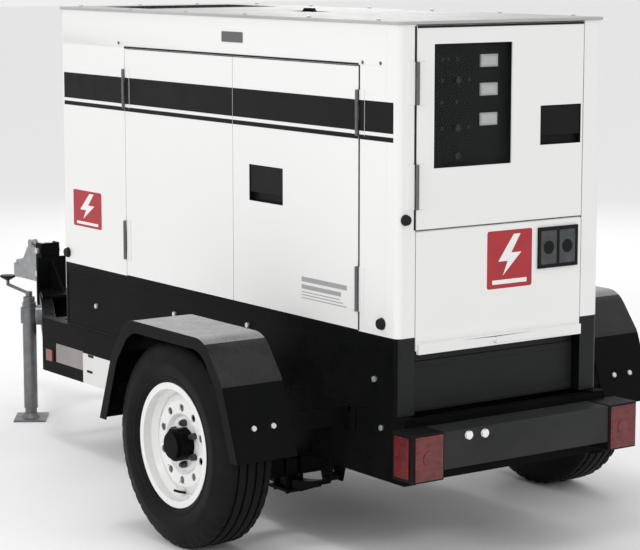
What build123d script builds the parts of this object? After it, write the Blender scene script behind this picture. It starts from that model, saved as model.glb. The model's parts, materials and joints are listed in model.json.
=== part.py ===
"""Towable diesel generator: sound-attenuated set on a single-axle trailer.

Millimetres. +X points to the rear (tail lamps), -X to the hitch, -Y to the left side, +Z up.
The origin is on the ground, under the centre of the bounding box.
"""

import math
import os

from build123d import *

# ---------------------------------------------------------------- driving sizes
LENGTH = 3500.0            # hitch tip to tail-lamp lenses
WIDTH = 1770.0             # over the fender skirts

HOUSING_LEN = 2157.0       # white enclosure, front wall to rear face
HOUSING_W = 844.0
HOUSING_H = 990.0          # underside of the enclosure to the top of the roof
FLOOR_Z = 743.5            # top of the fuel-tank base, underside of the enclosure
REAR_OVERHANG = 150.0      # enclosure rear face to the tail lamps
TANK_H = 250.0
RAIL_H = 215.0             # chassis side rails
RAIL_W = 50.0
RAIL_T = 8.0
CHASSIS_NOSE = 193.0       # chassis rails run this far ahead of the enclosure

SKIN = 3.0                 # sheet thickness of panels and doors
WALL = 25.0                # depth of a panel or door with its folded edges
CORNER_R = 22.0            # rounded vertical corners
ROOF_T = 10.0
ROOF_LIP = 6.0             # roof overhang past the walls
DOOR_GAP = 3.0

AXLE_AHEAD = 640.0         # axle to the enclosure rear face
TYRE_R = 344.0
TYRE_W = 205.0
SKIRT_OUT = 11.0           # fender skirt outside the tyre
RIM_R = 208.0
SEAT_R = 190.0             # bead seat of the rim
STUD_CIRCLE_R = 69.85
HAND_HOLE_CIRCLE_R = 121.0

FENDER_W = 230.0
FENDER_T = 3.0
FENDER_TOP_Z = 733.5
FENDER_LIP = 40.0

JACK_BACK = 640.0          # hitch tip to the jack
JACK_Y = -290.0
JACK_R = 28.5
JACK_TRAVEL = 250.0
FIT = 0.08                 # radial clearance of every running fit

# ---------------------------------------------------------------- positions from them
X_REAR = LENGTH / 2
X_HITCH = -LENGTH / 2
Y_SKIRT = WIDTH / 2
X1 = X_REAR - REAR_OVERHANG            # enclosure rear face
X0 = X1 - HOUSING_LEN                  # enclosure front face
Y_SIDE = HOUSING_W / 2                 # outer face of side walls, tank and rails
Y_IN = Y_SIDE - WALL                   # inner face of side walls
ROOF_Z = FLOOR_Z + HOUSING_H
WALL_TOP = ROOF_Z - ROOF_T
TANK_Z = FLOOR_Z - TANK_H              # tank underside, rail top
RAIL_Z = TANK_Z - RAIL_H
RAIL_X0 = X0 - CHASSIS_NOSE
RAIL_X1 = X1 + 40.0
TYRE_OUT_Y = Y_SKIRT - SKIRT_OUT       # outer sidewall
TYRE_IN_Y = TYRE_OUT_Y - TYRE_W
AXLE_X = X1 - AXLE_AHEAD
JACK_X = X_HITCH + JACK_BACK
LOW = (Align.CENTER, Align.CENTER, Align.MIN)

nodes = {}


# ---------------------------------------------------------------- helpers
def block(x0, x1, y0, y1, z0, z1):
    """Box between two corners."""
    centre = Pos((x0 + x1) / 2, (y0 + y1) / 2, (z0 + z1) / 2)
    return centre * Box(x1 - x0, y1 - y0, z1 - z0)


def local_block(plane, u0, u1, w0, w1, v0, v1):
    """Box between two corners given along a plane's x, y and z directions."""
    centre = Pos((u0 + u1) / 2, (w0 + w1) / 2, (v0 + v1) / 2)
    return plane * (centre * Box(u1 - u0, w1 - w0, v1 - v0))


def rod(radius, start, direction, length):
    """Cylinder from a point along a direction."""
    return Plane(origin=start, z_dir=direction) * Cylinder(radius, length, align=LOW)


def bar(radius, start, end):
    """Cylinder between two points."""
    way = Vector(*end) - Vector(*start)
    return rod(radius, start, tuple(way.normalized()), way.length)


def hexagon(across_flats, start, direction, length):
    """Hexagonal prism from a point along a direction."""
    sketch = RegularPolygon(across_flats / 2, 6, major_radius=False)
    return extrude(Plane(origin=start, z_dir=direction) * sketch, length)


def side_profile(points, y0, y1):
    """Closed X-Z outline, extruded from y0 to y1."""
    face = make_face(Polyline(*[(x, y0, z) for x, z in points], close=True))
    return extrude(face, y1 - y0, dir=(0, 1, 0))


def plan_profile(points, z0, z1):
    """Closed X-Y outline, extruded from z0 to z1."""
    face = make_face(Polyline(*[(x, y, z0) for x, y in points], close=True))
    return extrude(face, z1 - z0, dir=(0, 0, 1))


def ring(profile, x, z):
    """Closed outline of (radius, y) pairs, turned about a line along Y through (x, z)."""
    face = make_face(Polyline(*[(r, y, 0) for r, y in profile], close=True))
    return Pos(x, 0, z) * revolve(face, Axis.Y)


def mirrored(shape):
    """The same shape on the other side of the machine."""
    return mirror(shape, about=Plane.XZ)


def both(shape):
    """A shape and its mirror image, as one group."""
    return [shape, mirrored(shape)]


def fused(first, *rest):
    """Union of shapes and lists of shapes."""
    result = first
    for shape in rest:
        result = result + shape
    return result


def add(name, *shapes):
    """Store one node as a group of solids."""
    solids = []
    for item in shapes:
        for shape in item if isinstance(item, list) else [item]:
            solids += list(shape.solids())
    nodes[name] = solids[0] if len(solids) == 1 else Compound(children=solids)


# ---------------------------------------------------------------- hinges and latches
KNUCKLE_R = 6.0
HINGE_OUT = 7.0            # pin line, outside the panel face
HINGE_PLATE = 27.0
HINGE_T = 3.0
HINGE_CLEAR = 7.5          # each plate stops this far from the pin line


def strip_hinge(plane, height):
    """Fixed and moving halves of a surface hinge.

    The plane's origin is on the panel face, x points to the door, y out and z along the pin.
    """
    half = height / 2
    third = height / 3
    fixed = local_block(plane, -HINGE_CLEAR - HINGE_PLATE, -HINGE_CLEAR, 0, HINGE_T, -half, half)
    moving = local_block(plane, HINGE_CLEAR, HINGE_CLEAR + HINGE_PLATE, 0, HINGE_T, -half, half)
    knuckles = [(-half, -third / 2 - 0.5, True), (third / 2 + 0.5, half, True),
                (-third / 2, third / 2, False)]
    for low, high, on_door in knuckles:
        barrel = plane * (Pos(0, HINGE_OUT, low) * Cylinder(KNUCKLE_R, high - low, align=LOW))
        if on_door:
            web = local_block(plane, 0, HINGE_CLEAR + 1, 1.5, HINGE_T, low, high)
            moving = fused(moving, barrel, web)
        else:
            web = local_block(plane, -HINGE_CLEAR - 1, 0, 1.5, HINGE_T, low, high)
            fixed = fused(fixed, barrel, web)
    return fixed, moving


PAN_DEPTH = 22.0
PADDLE_T = 10.0
PADDLE_IN = 3.0            # paddle face, below the panel face
PADDLE_PIN_R = 2.5
PADDLE_PIN_DROP = 10.0     # pin line below the top of the pan
FINGER_BAY = 30.0


def paddle_latch(plane, width, height):
    """Pan, pocket and paddle of a flush lift latch, with x across, y up and z out."""
    u = width / 2
    w = height / 2
    pin_v = -PADDLE_IN - PADDLE_T / 2
    pin_w = w - PADDLE_PIN_DROP
    pan = local_block(plane, -u - SKIN, u + SKIN, -w - SKIN, w + SKIN, -PAN_DEPTH, -1)
    pocket = local_block(plane, -u, u, -w, w, -PAN_DEPTH + SKIN, 1)
    pin_hole = plane * (Pos(0, pin_w, pin_v) * Rot(0, 90, 0)
                        * Cylinder(PADDLE_PIN_R + FIT, width + 2 * SKIN))
    edge = 2.0
    paddle = local_block(plane, -u + edge, u - edge, -w + FINGER_BAY, w - edge,
                         -PADDLE_IN - PADDLE_T, -PADDLE_IN)
    pin = plane * (Pos(0, pin_w, pin_v) * Rot(0, 90, 0)
                   * Cylinder(PADDLE_PIN_R, width + 2 * SKIN - 2))
    grip = local_block(plane, -u + 12, u - 12, -w + FINGER_BAY, -w + FINGER_BAY + 7,
                       -PADDLE_IN - PADDLE_T - 3, -PADDLE_IN)
    return pan, fused(pocket, pin_hole), fused(paddle, pin, grip)


# ---------------------------------------------------------------- chassis
def rail(x0, x1):
    """Left side rail: a channel, open inward."""
    outer = block(x0, x1, -Y_SIDE, -Y_SIDE + RAIL_W, RAIL_Z, TANK_Z)
    inner = block(x0, x1, -Y_SIDE + RAIL_T, -Y_SIDE + RAIL_W, RAIL_Z + RAIL_T, TANK_Z - RAIL_T)
    return outer - inner


add("frame_rails", both(rail(RAIL_X0, RAIL_X1)))

CROSS_W = 50.0
CROSS_WALL = 5.0
CROSS_Z0 = RAIL_Z + RAIL_T
CROSS_Z1 = TANK_Z - RAIL_T
cross_y = Y_SIDE - RAIL_T


def crossmember(x, z0, z1):
    """Square tube between the webs of the rails."""
    outer = block(x, x + CROSS_W, -cross_y, cross_y, z0, z1)
    inner = block(x + CROSS_WALL, x + CROSS_W - CROSS_WALL, -cross_y, cross_y,
                  z0 + CROSS_WALL, z1 - CROSS_WALL)
    return outer - inner


cross_xs = [RAIL_X0, RAIL_X0 + 480, AXLE_X - 420, AXLE_X + 330, RAIL_X1 - CROSS_W]
add("frame_crossmembers", [crossmember(x, CROSS_Z0, CROSS_Z1) for x in cross_xs])

# A-frame tongue: two tubes meet at a nose plate that carries the hitch channel
TONGUE_T = 50.0
TONGUE_Z0 = 350.0
TONGUE_Z1 = 475.0
TONGUE_WALL = 5.0
NOSE_T = 12.0
HITCH_DEPTH = 50.0
HITCH_W = 90.0
HITCH_Z0 = 413.5
HITCH_Z1 = 683.5
HITCH_T = 8.0
X_NOSE = X_HITCH + 294.0               # front face of the nose plate
tongue_root = Vector(RAIL_X0 + 10, -(Y_SIDE - 32))
tongue_tip = Vector(X_NOSE, -30)
along = (tongue_tip - tongue_root).normalized()
outward = Vector(-along.Y, along.X)
if outward.Y > 0:
    outward = outward * -1


def tongue_tube(half_width, z0, z1):
    """Left tongue rail as a bar of the given half width, cut square to X at both ends."""
    start = tongue_root - along * 200
    end = tongue_tip + along * 200
    corners = [start + outward * half_width, end + outward * half_width,
               end - outward * half_width, start - outward * half_width]
    strip = plan_profile([(c.X, c.Y) for c in corners], z0, z1)
    return strip & block(X_NOSE + NOSE_T, RAIL_X0, -Y_SIDE, -1, z0, z1)


left_tongue = (tongue_tube(TONGUE_T / 2, TONGUE_Z0, TONGUE_Z1)
               - tongue_tube(TONGUE_T / 2 - TONGUE_WALL,
                             TONGUE_Z0 + TONGUE_WALL, TONGUE_Z1 - TONGUE_WALL))
nose_plate = block(X_NOSE, X_NOSE + NOSE_T, -70, 70, TONGUE_Z0 - 5, HITCH_Z1 - 60)
gusset_top = plan_profile([(X_NOSE + NOSE_T, -60), (X_NOSE + NOSE_T, 60),
                           (X_NOSE + 200, 150), (X_NOSE + 200, -150)],
                          TONGUE_Z1, TONGUE_Z1 + 8)
gusset_web = side_profile([(X_NOSE + NOSE_T, TONGUE_Z1 + 8), (X_NOSE + NOSE_T, HITCH_Z1 - 70),
                           (X_NOSE + 120, TONGUE_Z1 + 8)], -5, 5)
add("tongue_frame", fused(left_tongue, mirrored(left_tongue), nose_plate, gusset_top, gusset_web))

# Hitch channel: adjustable in height, open forward
channel = (block(X_NOSE - HITCH_DEPTH, X_NOSE, -HITCH_W / 2, HITCH_W / 2, HITCH_Z0, HITCH_Z1)
           - block(X_NOSE - HITCH_DEPTH - 1, X_NOSE - HITCH_T, -HITCH_W / 2 + HITCH_T,
                   HITCH_W / 2 - HITCH_T, HITCH_Z0 - 1, HITCH_Z1 + 1))
HITCH_BOLT_R = 8.0
hitch_bolt_x = X_NOSE - 28.0
for level in range(5):
    hole_z = HITCH_Z0 + 35 + level * 50
    channel -= rod(HITCH_BOLT_R, (hitch_bolt_x, -HITCH_W, hole_z), (0, 1, 0), 2 * HITCH_W)
add("hitch_channel", channel)

# Ball coupler between the flanges of the channel
BALL_R = 30.5
BALL_Z = 530.0
HOOD_R = 45.0
COUPLER_HALF = HITCH_W / 2 - HITCH_T
ball_x = X_HITCH + HOOD_R
coupler_back = X_NOSE - HITCH_T
neck = side_profile([(coupler_back, 508), (coupler_back, 655), (X_NOSE - 144, 655),
                     (X_NOSE - 185, 600), (ball_x, 582), (ball_x, 508)],
                    -COUPLER_HALF, COUPLER_HALF)
hood = fused(rod(HOOD_R, (ball_x, 0, 508), (0, 0, 1), 60),
             rod(HOOD_R - 10, (ball_x, 0, 568), (0, 0, 1), 14))
socket = fused(Pos(ball_x, 0, BALL_Z) * Sphere(BALL_R),
               rod(BALL_R, (ball_x, 0, 500), (0, 0, 1), BALL_Z - 500))
belly = block(X_NOSE - 150, coupler_back - 6, -COUPLER_HALF + 6, COUPLER_HALF - 6, 500, 640)
LEVER_PIN_R = 5.0
LEVER_HALF = 9.0
lever_x = X_NOSE - 160.0
lever_z = 668.0
ear_outline = [(lever_x - 16, 585), (lever_x + 16, 620), (lever_x + 16, lever_z + 8),
               (lever_x + 8, lever_z + 14), (lever_x - 8, lever_z + 14), (lever_x - 16, lever_z + 8)]
ear = side_profile(ear_outline, LEVER_HALF + 1, LEVER_HALF + 8)
lever_pin = rod(LEVER_PIN_R, (lever_x, -LEVER_HALF - 8, lever_z), (0, 1, 0), 2 * LEVER_HALF + 16)
coupler = fused(neck, hood) - socket - belly
add("coupler_body", fused(coupler, ear, mirrored(ear), lever_pin))

lever = fused(block(lever_x, X_NOSE - 20, -LEVER_HALF, LEVER_HALF, lever_z - 5, lever_z + 5),
              rod(13, (lever_x, -LEVER_HALF, lever_z), (0, 1, 0), 2 * LEVER_HALF),
              block(X_NOSE - 40, X_NOSE - 20, -LEVER_HALF, LEVER_HALF, lever_z - 5, lever_z + 14))
lever -= rod(LEVER_PIN_R + FIT, (lever_x, -20, lever_z), (0, 1, 0), 40)
add("coupler_latch", lever)

# Bumper, with a shelf back to the enclosure and a lamp box at each end
FACE_Z1 = RAIL_Z + 185.0
FACE_Z0 = FACE_Z1 - 120.0
FACE_X = X_REAR - 8.0                  # the licence lamps stand out from the face
LAMP_Y0 = 347.0
LAMP_Y1 = 473.0
LAMP_Z0 = FACE_Z0 - 30.0
LAMP_Z1 = FACE_Z1 + 3.0
BUMPER_T = 5.0
bumper = fused(block(X1, FACE_X, -LAMP_Y0, LAMP_Y0, FACE_Z1 - BUMPER_T, FACE_Z1)
               - block(X1 - 1, RAIL_X1, -LAMP_Y0, LAMP_Y0, FACE_Z1 - BUMPER_T - 1, FACE_Z1 + 1),
               block(FACE_X - BUMPER_T, FACE_X, -LAMP_Y0, LAMP_Y0, FACE_Z0, FACE_Z1),
               block(FACE_X - 45, FACE_X, -LAMP_Y0, LAMP_Y0, FACE_Z0, FACE_Z0 + BUMPER_T),
               block(RAIL_X1, RAIL_X1 + BUMPER_T, -LAMP_Y0, LAMP_Y0, FACE_Z0, FACE_Z1))
add("bumper", bumper)

lamp_box = (block(RAIL_X1, X_REAR - 4, LAMP_Y0, LAMP_Y1 - 6, LAMP_Z0, LAMP_Z1)
            - block(RAIL_X1 + 5, X_REAR, LAMP_Y0 + 6, LAMP_Y1 - 12, LAMP_Z0 + 6, LAMP_Z1 - 6))
add("lamp_housings", both(lamp_box))
rear_lens = block(X_REAR - 22, X_REAR, LAMP_Y0 + 6, LAMP_Y1 - 12, LAMP_Z0 + 6, LAMP_Z1 - 6)
side_lens = block(X_REAR - 96, X_REAR - 24, LAMP_Y1 - 6, LAMP_Y1, LAMP_Z0 + 12, LAMP_Z1 - 12)
add("lamp_lenses", both(rear_lens), both(side_lens))

LICENCE_R = 14.0
LICENCE_YZ = [(-247.0, FACE_Z1 - 20), (-182.0, FACE_Z1 - 22)]
add("licence_lamps", [rod(LICENCE_R, (FACE_X, y, z), (1, 0, 0), X_REAR - FACE_X)
                      for y, z in LICENCE_YZ])

# ---------------------------------------------------------------- fenders
FLAT_HALF = 240.0
KNEE = (345.0, 600.0)                  # fender bend: distance from the axle line, height
TAIL = (432.0, 363.5)                  # lower edge of the flap
BEND_R = 100.0


def fender_outline(inset):
    """Half outline of the fender from the top centre to the flap edge, moved inward."""
    slope = math.atan2(KNEE[1] - TAIL[1], TAIL[0] - KNEE[0])
    top_slope = math.atan2(FENDER_TOP_Z - KNEE[1], KNEE[0] - FLAT_HALF)
    shift_tail = inset / math.sin(slope)
    corner_z = FENDER_TOP_Z - inset
    corner_x = FLAT_HALF - inset * math.tan(top_slope / 2)
    knee_x = KNEE[0] - inset * math.sin((slope + top_slope) / 2)
    knee_z = KNEE[1] - inset * math.cos((slope + top_slope) / 2)
    return [(0, corner_z), (corner_x, corner_z), (knee_x, knee_z), (TAIL[0] - shift_tail, TAIL[1])]


def fender_band(inset0, inset1, y0, y1):
    """Bent strip between two insets of the fender outline."""
    outer = fender_outline(inset0)
    inner = fender_outline(inset1)
    half = outer + inner[::-1]
    strip = side_profile(half, y0, y1)
    return Pos(AXLE_X, 0, 0) * fused(strip, mirror(strip, about=Plane.YZ))


def bent_edges(shape, y0, y1):
    """Edges across the strip at the four bends."""
    found = []
    for edge in shape.edges().filter_by(Axis.Y):
        centre = edge.center()
        at_bend = centre.Z > TAIL[1] + 60 and abs(centre.X - AXLE_X) > 100
        if at_bend and edge.length > (y1 - y0) - 1:
            found.append(edge)
    return found


top_strip = fender_band(0, FENDER_T, -Y_SKIRT, -Y_SKIRT + FENDER_W)
top_strip = fillet(bent_edges(top_strip, 0, FENDER_W), BEND_R)
skirt = fender_band(0.5, FENDER_LIP, -Y_SKIRT, -Y_SKIRT + FENDER_T)
skirt = fillet(bent_edges(skirt, 0, FENDER_T), BEND_R - FENDER_T)
left_fender = fused(top_strip, skirt)
add("fenders", both(left_fender))

# Bracket arms under both flaps of each fender
ARM_T = 8.0
ARM_Z0 = 436.0
ARM_Z1 = 490.0
ARM_Y = Y_SKIRT - 45.0


def flap_x(z, inset):
    """Distance of the flap from the axle line at a height."""
    share = (KNEE[1] - z) / (KNEE[1] - TAIL[1])
    return KNEE[0] + share * (TAIL[0] - KNEE[0]) - inset


slope_in = FENDER_T / math.sin(math.atan2(KNEE[1] - TAIL[1], TAIL[0] - KNEE[0]))
arm_outline = [(flap_x(ARM_Z0, slope_in), ARM_Z0), (flap_x(ARM_Z1, slope_in), ARM_Z1),
               (flap_x(ARM_Z1, slope_in + ARM_T), ARM_Z1), (flap_x(ARM_Z0, slope_in + ARM_T), ARM_Z0)]
rear_arm = side_profile(arm_outline, -ARM_Y, -Y_SIDE)
front_arm = mirror(rear_arm, about=Plane.YZ)
arms = []
for side, arm in ((1, rear_arm), (-1, front_arm)):
    foot_x = AXLE_X + side * (flap_x((ARM_Z0 + ARM_Z1) / 2, slope_in) - ARM_T / 2)
    foot = block(foot_x - 35, foot_x + 35, -Y_SIDE - 6, -Y_SIDE, ARM_Z0 - 20, TANK_Z - 2)
    arms += both(fused(Pos(AXLE_X, 0, 0) * arm, foot))
add("fender_brackets", arms)

# ---------------------------------------------------------------- axle and springs
BEAM = 60.0
BEAM_Z = 215.0
BEAM_HALF = TYRE_OUT_Y - 314.0
SPINDLE_R = 22.0
HUB_IN_Y = TYRE_OUT_Y - 144.0
SPINDLE_Y = TYRE_OUT_Y - 89.0
drop_arm = fused(block(AXLE_X - 30, AXLE_X + 30, BEAM_HALF, BEAM_HALF + 30,
                       BEAM_Z - BEAM / 2, TYRE_R + 35),
                 rod(35, (AXLE_X, BEAM_HALF + 30, TYRE_R), (0, 1, 0), 55),
                 rod(SPINDLE_R, (AXLE_X, BEAM_HALF + 30, TYRE_R), (0, 1, 0),
                     SPINDLE_Y - BEAM_HALF - 30))
beam = (block(AXLE_X - BEAM / 2, AXLE_X + BEAM / 2, -BEAM_HALF, BEAM_HALF,
              BEAM_Z - BEAM / 2, BEAM_Z + BEAM / 2)
        - block(AXLE_X - BEAM / 2 + 6, AXLE_X + BEAM / 2 - 6, -BEAM_HALF - 1, BEAM_HALF + 1,
                BEAM_Z - BEAM / 2 + 6, BEAM_Z + BEAM / 2 - 6))
add("axle_beam", fused(beam, drop_arm, mirrored(drop_arm)))

LEAF_W = 45.0
LEAF_T = 8.0
LEAVES = 4
SPRING_HALF = 260.0
SPRING_RISE = 45.0
SPRING_Y = Y_SIDE - RAIL_W / 2
SEAT_T = 8.0
EYE_R = 15.0
EYE_PIN_R = 8.0
spring_top = BEAM_Z - BEAM / 2 - SEAT_T
spring_r = (SPRING_HALF ** 2 + SPRING_RISE ** 2) / (2 * SPRING_RISE)
spring_cz = spring_top + spring_r


def leaf(index):
    """One curved leaf under the axle, shorter the lower it lies."""
    inner = spring_r + index * LEAF_T
    outer = inner + LEAF_T
    reach = SPRING_HALF - index * 50.0
    angle = math.asin(reach / spring_r)
    tip = math.sin(angle), math.cos(angle)
    y = -SPRING_Y - LEAF_W / 2
    points = {}
    for name, radius in (("in", inner), ("out", outer)):
        points[name] = [(AXLE_X + side * radius * tip[0], y, spring_cz - radius * tip[1])
                        for side in (-1, 1)]
        points[name + "_mid"] = (AXLE_X, y, spring_cz - radius)
    lines = [ThreePointArc(points["in"][0], points["in_mid"], points["in"][1]),
             Line(points["in"][1], points["out"][1]),
             ThreePointArc(points["out"][1], points["out_mid"], points["out"][0]),
             Line(points["out"][0], points["in"][0])]
    return extrude(make_face(lines), LEAF_W, dir=(0, 1, 0))


eye_angle = math.asin(SPRING_HALF / spring_r)
eye_dx = (spring_r + LEAF_T / 2) * math.sin(eye_angle)
eye_z = spring_cz - (spring_r + LEAF_T / 2) * math.cos(eye_angle) + EYE_R - LEAF_T / 2
stack = fused(*[leaf(i) for i in range(LEAVES)])
for side in (-1, 1):
    eye_start = (AXLE_X + side * eye_dx, -SPRING_Y - LEAF_W / 2, eye_z)
    stack = stack + rod(EYE_R, eye_start, (0, 1, 0), LEAF_W)
for side in (-1, 1):
    eye_start = (AXLE_X + side * eye_dx, -SPRING_Y - LEAF_W, eye_z)
    stack = stack - rod(EYE_PIN_R, eye_start, (0, 1, 0), 2 * LEAF_W)
seat = block(AXLE_X - 40, AXLE_X + 40, -SPRING_Y - LEAF_W / 2, -SPRING_Y + LEAF_W / 2,
             spring_top - 0.5, spring_top + SEAT_T)
add("leaf_springs", both(fused(stack, seat)))

CHEEK_T = 6.0
U_BOLT_R = 6.0
spring_mounts = []
for side in (-1, 1):
    eye_x = AXLE_X + side * eye_dx
    cheeks = []
    for lateral in (-1, 1):
        cheek_y = -SPRING_Y + lateral * (LEAF_W / 2 + CHEEK_T / 2)
        cheek = side_profile([(eye_x - 40, RAIL_Z), (eye_x + 40, RAIL_Z), (eye_x + 20, eye_z - 18),
                              (eye_x - 20, eye_z - 18)], cheek_y - CHEEK_T / 2, cheek_y + CHEEK_T / 2)
        cheeks.append(cheek)
    span = LEAF_W + 2 * CHEEK_T + 12
    pin = rod(EYE_PIN_R, (eye_x, -SPRING_Y - span / 2, eye_z), (0, 1, 0), span)
    spring_mounts.append(fused(cheeks[0], cheeks[1], pin))
plate_z = spring_top - LEAVES * LEAF_T
tie_plate = block(AXLE_X - 60, AXLE_X + 60, -SPRING_Y - 42, -SPRING_Y + 42, plate_z - 10, plate_z)
beam_top = BEAM_Z + BEAM / 2
u_dx = BEAM / 2 + U_BOLT_R
for lateral in (-1, 1):
    u_y = -SPRING_Y + lateral * (LEAF_W / 2 + U_BOLT_R + 1)
    legs = [rod(U_BOLT_R, (AXLE_X + s * u_dx, u_y, plate_z - 18), (0, 0, 1),
                beam_top + U_BOLT_R - plate_z + 18) for s in (-1, 1)]
    bridge = bar(U_BOLT_R, (AXLE_X - u_dx, u_y, beam_top + U_BOLT_R),
                 (AXLE_X + u_dx, u_y, beam_top + U_BOLT_R))
    tie_plate = fused(tie_plate, legs[0], legs[1], bridge)
spring_mounts.append(tie_plate)
add("spring_mounts", spring_mounts, [mirrored(shape) for shape in spring_mounts])

# Diagonal brace bars from the rails down to the axle beam
BRACE_R = 11.0
BRACE_Y = Y_SIDE + 58.0
brace_top = (AXLE_X + 150, -BRACE_Y, 410.0)
brace_low = (AXLE_X + 22, -BRACE_Y, beam_top + 12)
brace = fused(bar(BRACE_R, brace_low, brace_top),
              rod(13, (brace_top[0], -BRACE_Y - 14, brace_top[2]), (0, 1, 0), BRACE_Y + 14 - Y_SIDE),
              block(AXLE_X - 2, AXLE_X + 30, -BRACE_Y - 14, -BRACE_Y + 14, beam_top, beam_top + 26))
add("axle_braces", both(brace))

# ---------------------------------------------------------------- wheels
TREAD_GROOVE = 7.0


def tyre_profile():
    """Tyre section as (radius, distance from the tyre's middle plane)."""
    half = TYRE_W / 2
    outer = [(SEAT_R, 81.5), (RIM_R, 81.5), (RIM_R + 14, 92), (RIM_R + 50, half),
             (RIM_R + 82, half - 3), (RIM_R + 112, half - 12), (TYRE_R - 8, half - 22),
             (TYRE_R, half - 34)]
    inner = [(TYRE_R - 22, 55), (TYRE_R - 40, 80), (RIM_R + 50, 90), (RIM_R + 8, 72), (SEAT_R, 60)]
    near = [(r, -y) for r, y in outer] + [(r, y) for r, y in outer[::-1]]
    far = [(r, y) for r, y in inner[::-1]] + [(r, -y) for r, y in inner]
    return near + far


tyre_mid_y = -(TYRE_OUT_Y - TYRE_W / 2)
tyre = ring([(r, y + tyre_mid_y) for r, y in tyre_profile()], AXLE_X, TYRE_R)
for offset in (-48, -16, 16, 48):
    groove = ring([(TYRE_R - TREAD_GROOVE, offset - 4 + tyre_mid_y), (TYRE_R + 2, offset - 4 + tyre_mid_y),
                   (TYRE_R + 2, offset + 4 + tyre_mid_y), (TYRE_R - TREAD_GROOVE, offset + 4 + tyre_mid_y)],
                  AXLE_X, TYRE_R)
    tyre = tyre - groove
add("left_tyre", tyre)
add("right_tyre", mirrored(tyre))

RIM_T = 4.0
DISC_T = 5.0
DISC_Y = 73.0 - TYRE_OUT_Y             # back of the disc at the hub
PILOT_R = 54.0
rim_face = tyre_mid_y - 81.5           # outer side of the bead seat
rim_back = tyre_mid_y + 81.5
barrel = ring([(RIM_R, rim_face - RIM_T), (RIM_R, rim_face), (SEAT_R, rim_face),
               (SEAT_R, rim_face + 28), (SEAT_R - 16, rim_face + 48), (SEAT_R - 16, rim_back - 48),
               (SEAT_R, rim_back - 28), (SEAT_R, rim_back), (RIM_R, rim_back),
               (RIM_R, rim_back + RIM_T), (SEAT_R - RIM_T, rim_back + RIM_T),
               (SEAT_R - RIM_T, rim_back - 26), (SEAT_R - 20, rim_back - 45),
               (SEAT_R - 20, rim_face + 45), (SEAT_R - RIM_T, rim_face + 26),
               (SEAT_R - RIM_T, rim_face - RIM_T)], AXLE_X, TYRE_R)
disc = ring([(PILOT_R, DISC_Y), (92, DISC_Y), (104, DISC_Y - 14), (140, DISC_Y - 16),
             (158, DISC_Y - 4), (SEAT_R - 20, DISC_Y + 6), (SEAT_R - 18, DISC_Y + 6),
             (SEAT_R - 18, DISC_Y), (160, DISC_Y - 10), (142, DISC_Y - 16 - DISC_T),
             (102, DISC_Y - 14 - DISC_T), (90, DISC_Y - DISC_T), (PILOT_R, DISC_Y - DISC_T)],
            AXLE_X, TYRE_R)
rim = fused(barrel, disc)
STUD_R = 7.0
STUDS = 6
HAND_HOLES = 10
HAND_HOLE_R = 12.5
hub_studs = []
for i in range(STUDS):
    angle = math.radians(360 / STUDS * i + 30)
    x = AXLE_X + STUD_CIRCLE_R * math.cos(angle)
    z = TYRE_R + STUD_CIRCLE_R * math.sin(angle)
    rim = rim - rod(STUD_R, (x, DISC_Y + 10, z), (0, -1, 0), 40)
    hub_studs.append(rod(STUD_R, (x, DISC_Y + 1, z), (0, -1, 0), 30))
    hub_studs.append(hexagon(21, (x, DISC_Y - DISC_T, z), (0, -1, 0), 17))
for i in range(HAND_HOLES):
    angle = math.radians(360 / HAND_HOLES * i + 90)
    x = AXLE_X + HAND_HOLE_CIRCLE_R * math.cos(angle)
    z = TYRE_R + HAND_HOLE_CIRCLE_R * math.sin(angle)
    rim = rim - rod(HAND_HOLE_R, (x, DISC_Y + 30, z), (0, -1, 0), 80)
add("left_rim", rim)
add("right_rim", mirrored(rim))

hub = fused(rod(88, (AXLE_X, DISC_Y, TYRE_R), (0, 1, 0), 18),
            rod(62, (AXLE_X, DISC_Y + 17, TYRE_R), (0, 1, 0), -HUB_IN_Y - DISC_Y - 17),
            rod(PILOT_R, (AXLE_X, DISC_Y + 1, TYRE_R), (0, -1, 0), 52),
            rod(PILOT_R - 10, (AXLE_X, DISC_Y - 50, TYRE_R), (0, -1, 0), 14),
            *hub_studs)
hub = hub - rod(SPINDLE_R + FIT, (AXLE_X, -HUB_IN_Y + 1, TYRE_R), (0, -1, 0), SPINDLE_Y - HUB_IN_Y + 2)
add("left_hub", hub)
add("right_hub", mirrored(hub))

# ---------------------------------------------------------------- jack on the left tongue rail
JACK_PIVOT_Z = 440.0
TUBE_Z0 = 45.0
TUBE_Z1 = 495.0
BORE_R = JACK_R - 4.0
COLLAR_R = 36.0
COLLAR_H = 66.0
SWIVEL_R = 42.0
SWIVEL_PIN_R = 12.0
JACK_SWING = 33.0                      # swing plane from the trailer's length, clear of the side rail
jack_axis = Vector(JACK_X, JACK_Y)
rail_gap = (jack_axis - tongue_root).dot(outward) - TONGUE_T / 2
inward = (math.sin(math.radians(JACK_SWING)), math.cos(math.radians(JACK_SWING)), 0)


def jack_point(distance, z=JACK_PIVOT_Z):
    """A point beside the jack, towards the tongue rail."""
    return (JACK_X + inward[0] * distance, JACK_Y + inward[1] * distance, z)


swivel_face = COLLAR_R + 7.0
mount = fused(rod(SWIVEL_R, jack_point(swivel_face + 0.3), inward, rail_gap - swivel_face + 15),
              rod(SWIVEL_PIN_R, jack_point(swivel_face - 6), inward, 10))
mount = mount - tongue_tube(TONGUE_T / 2, TONGUE_Z0, HITCH_Z1)
add("jack_mount", mount)

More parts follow.
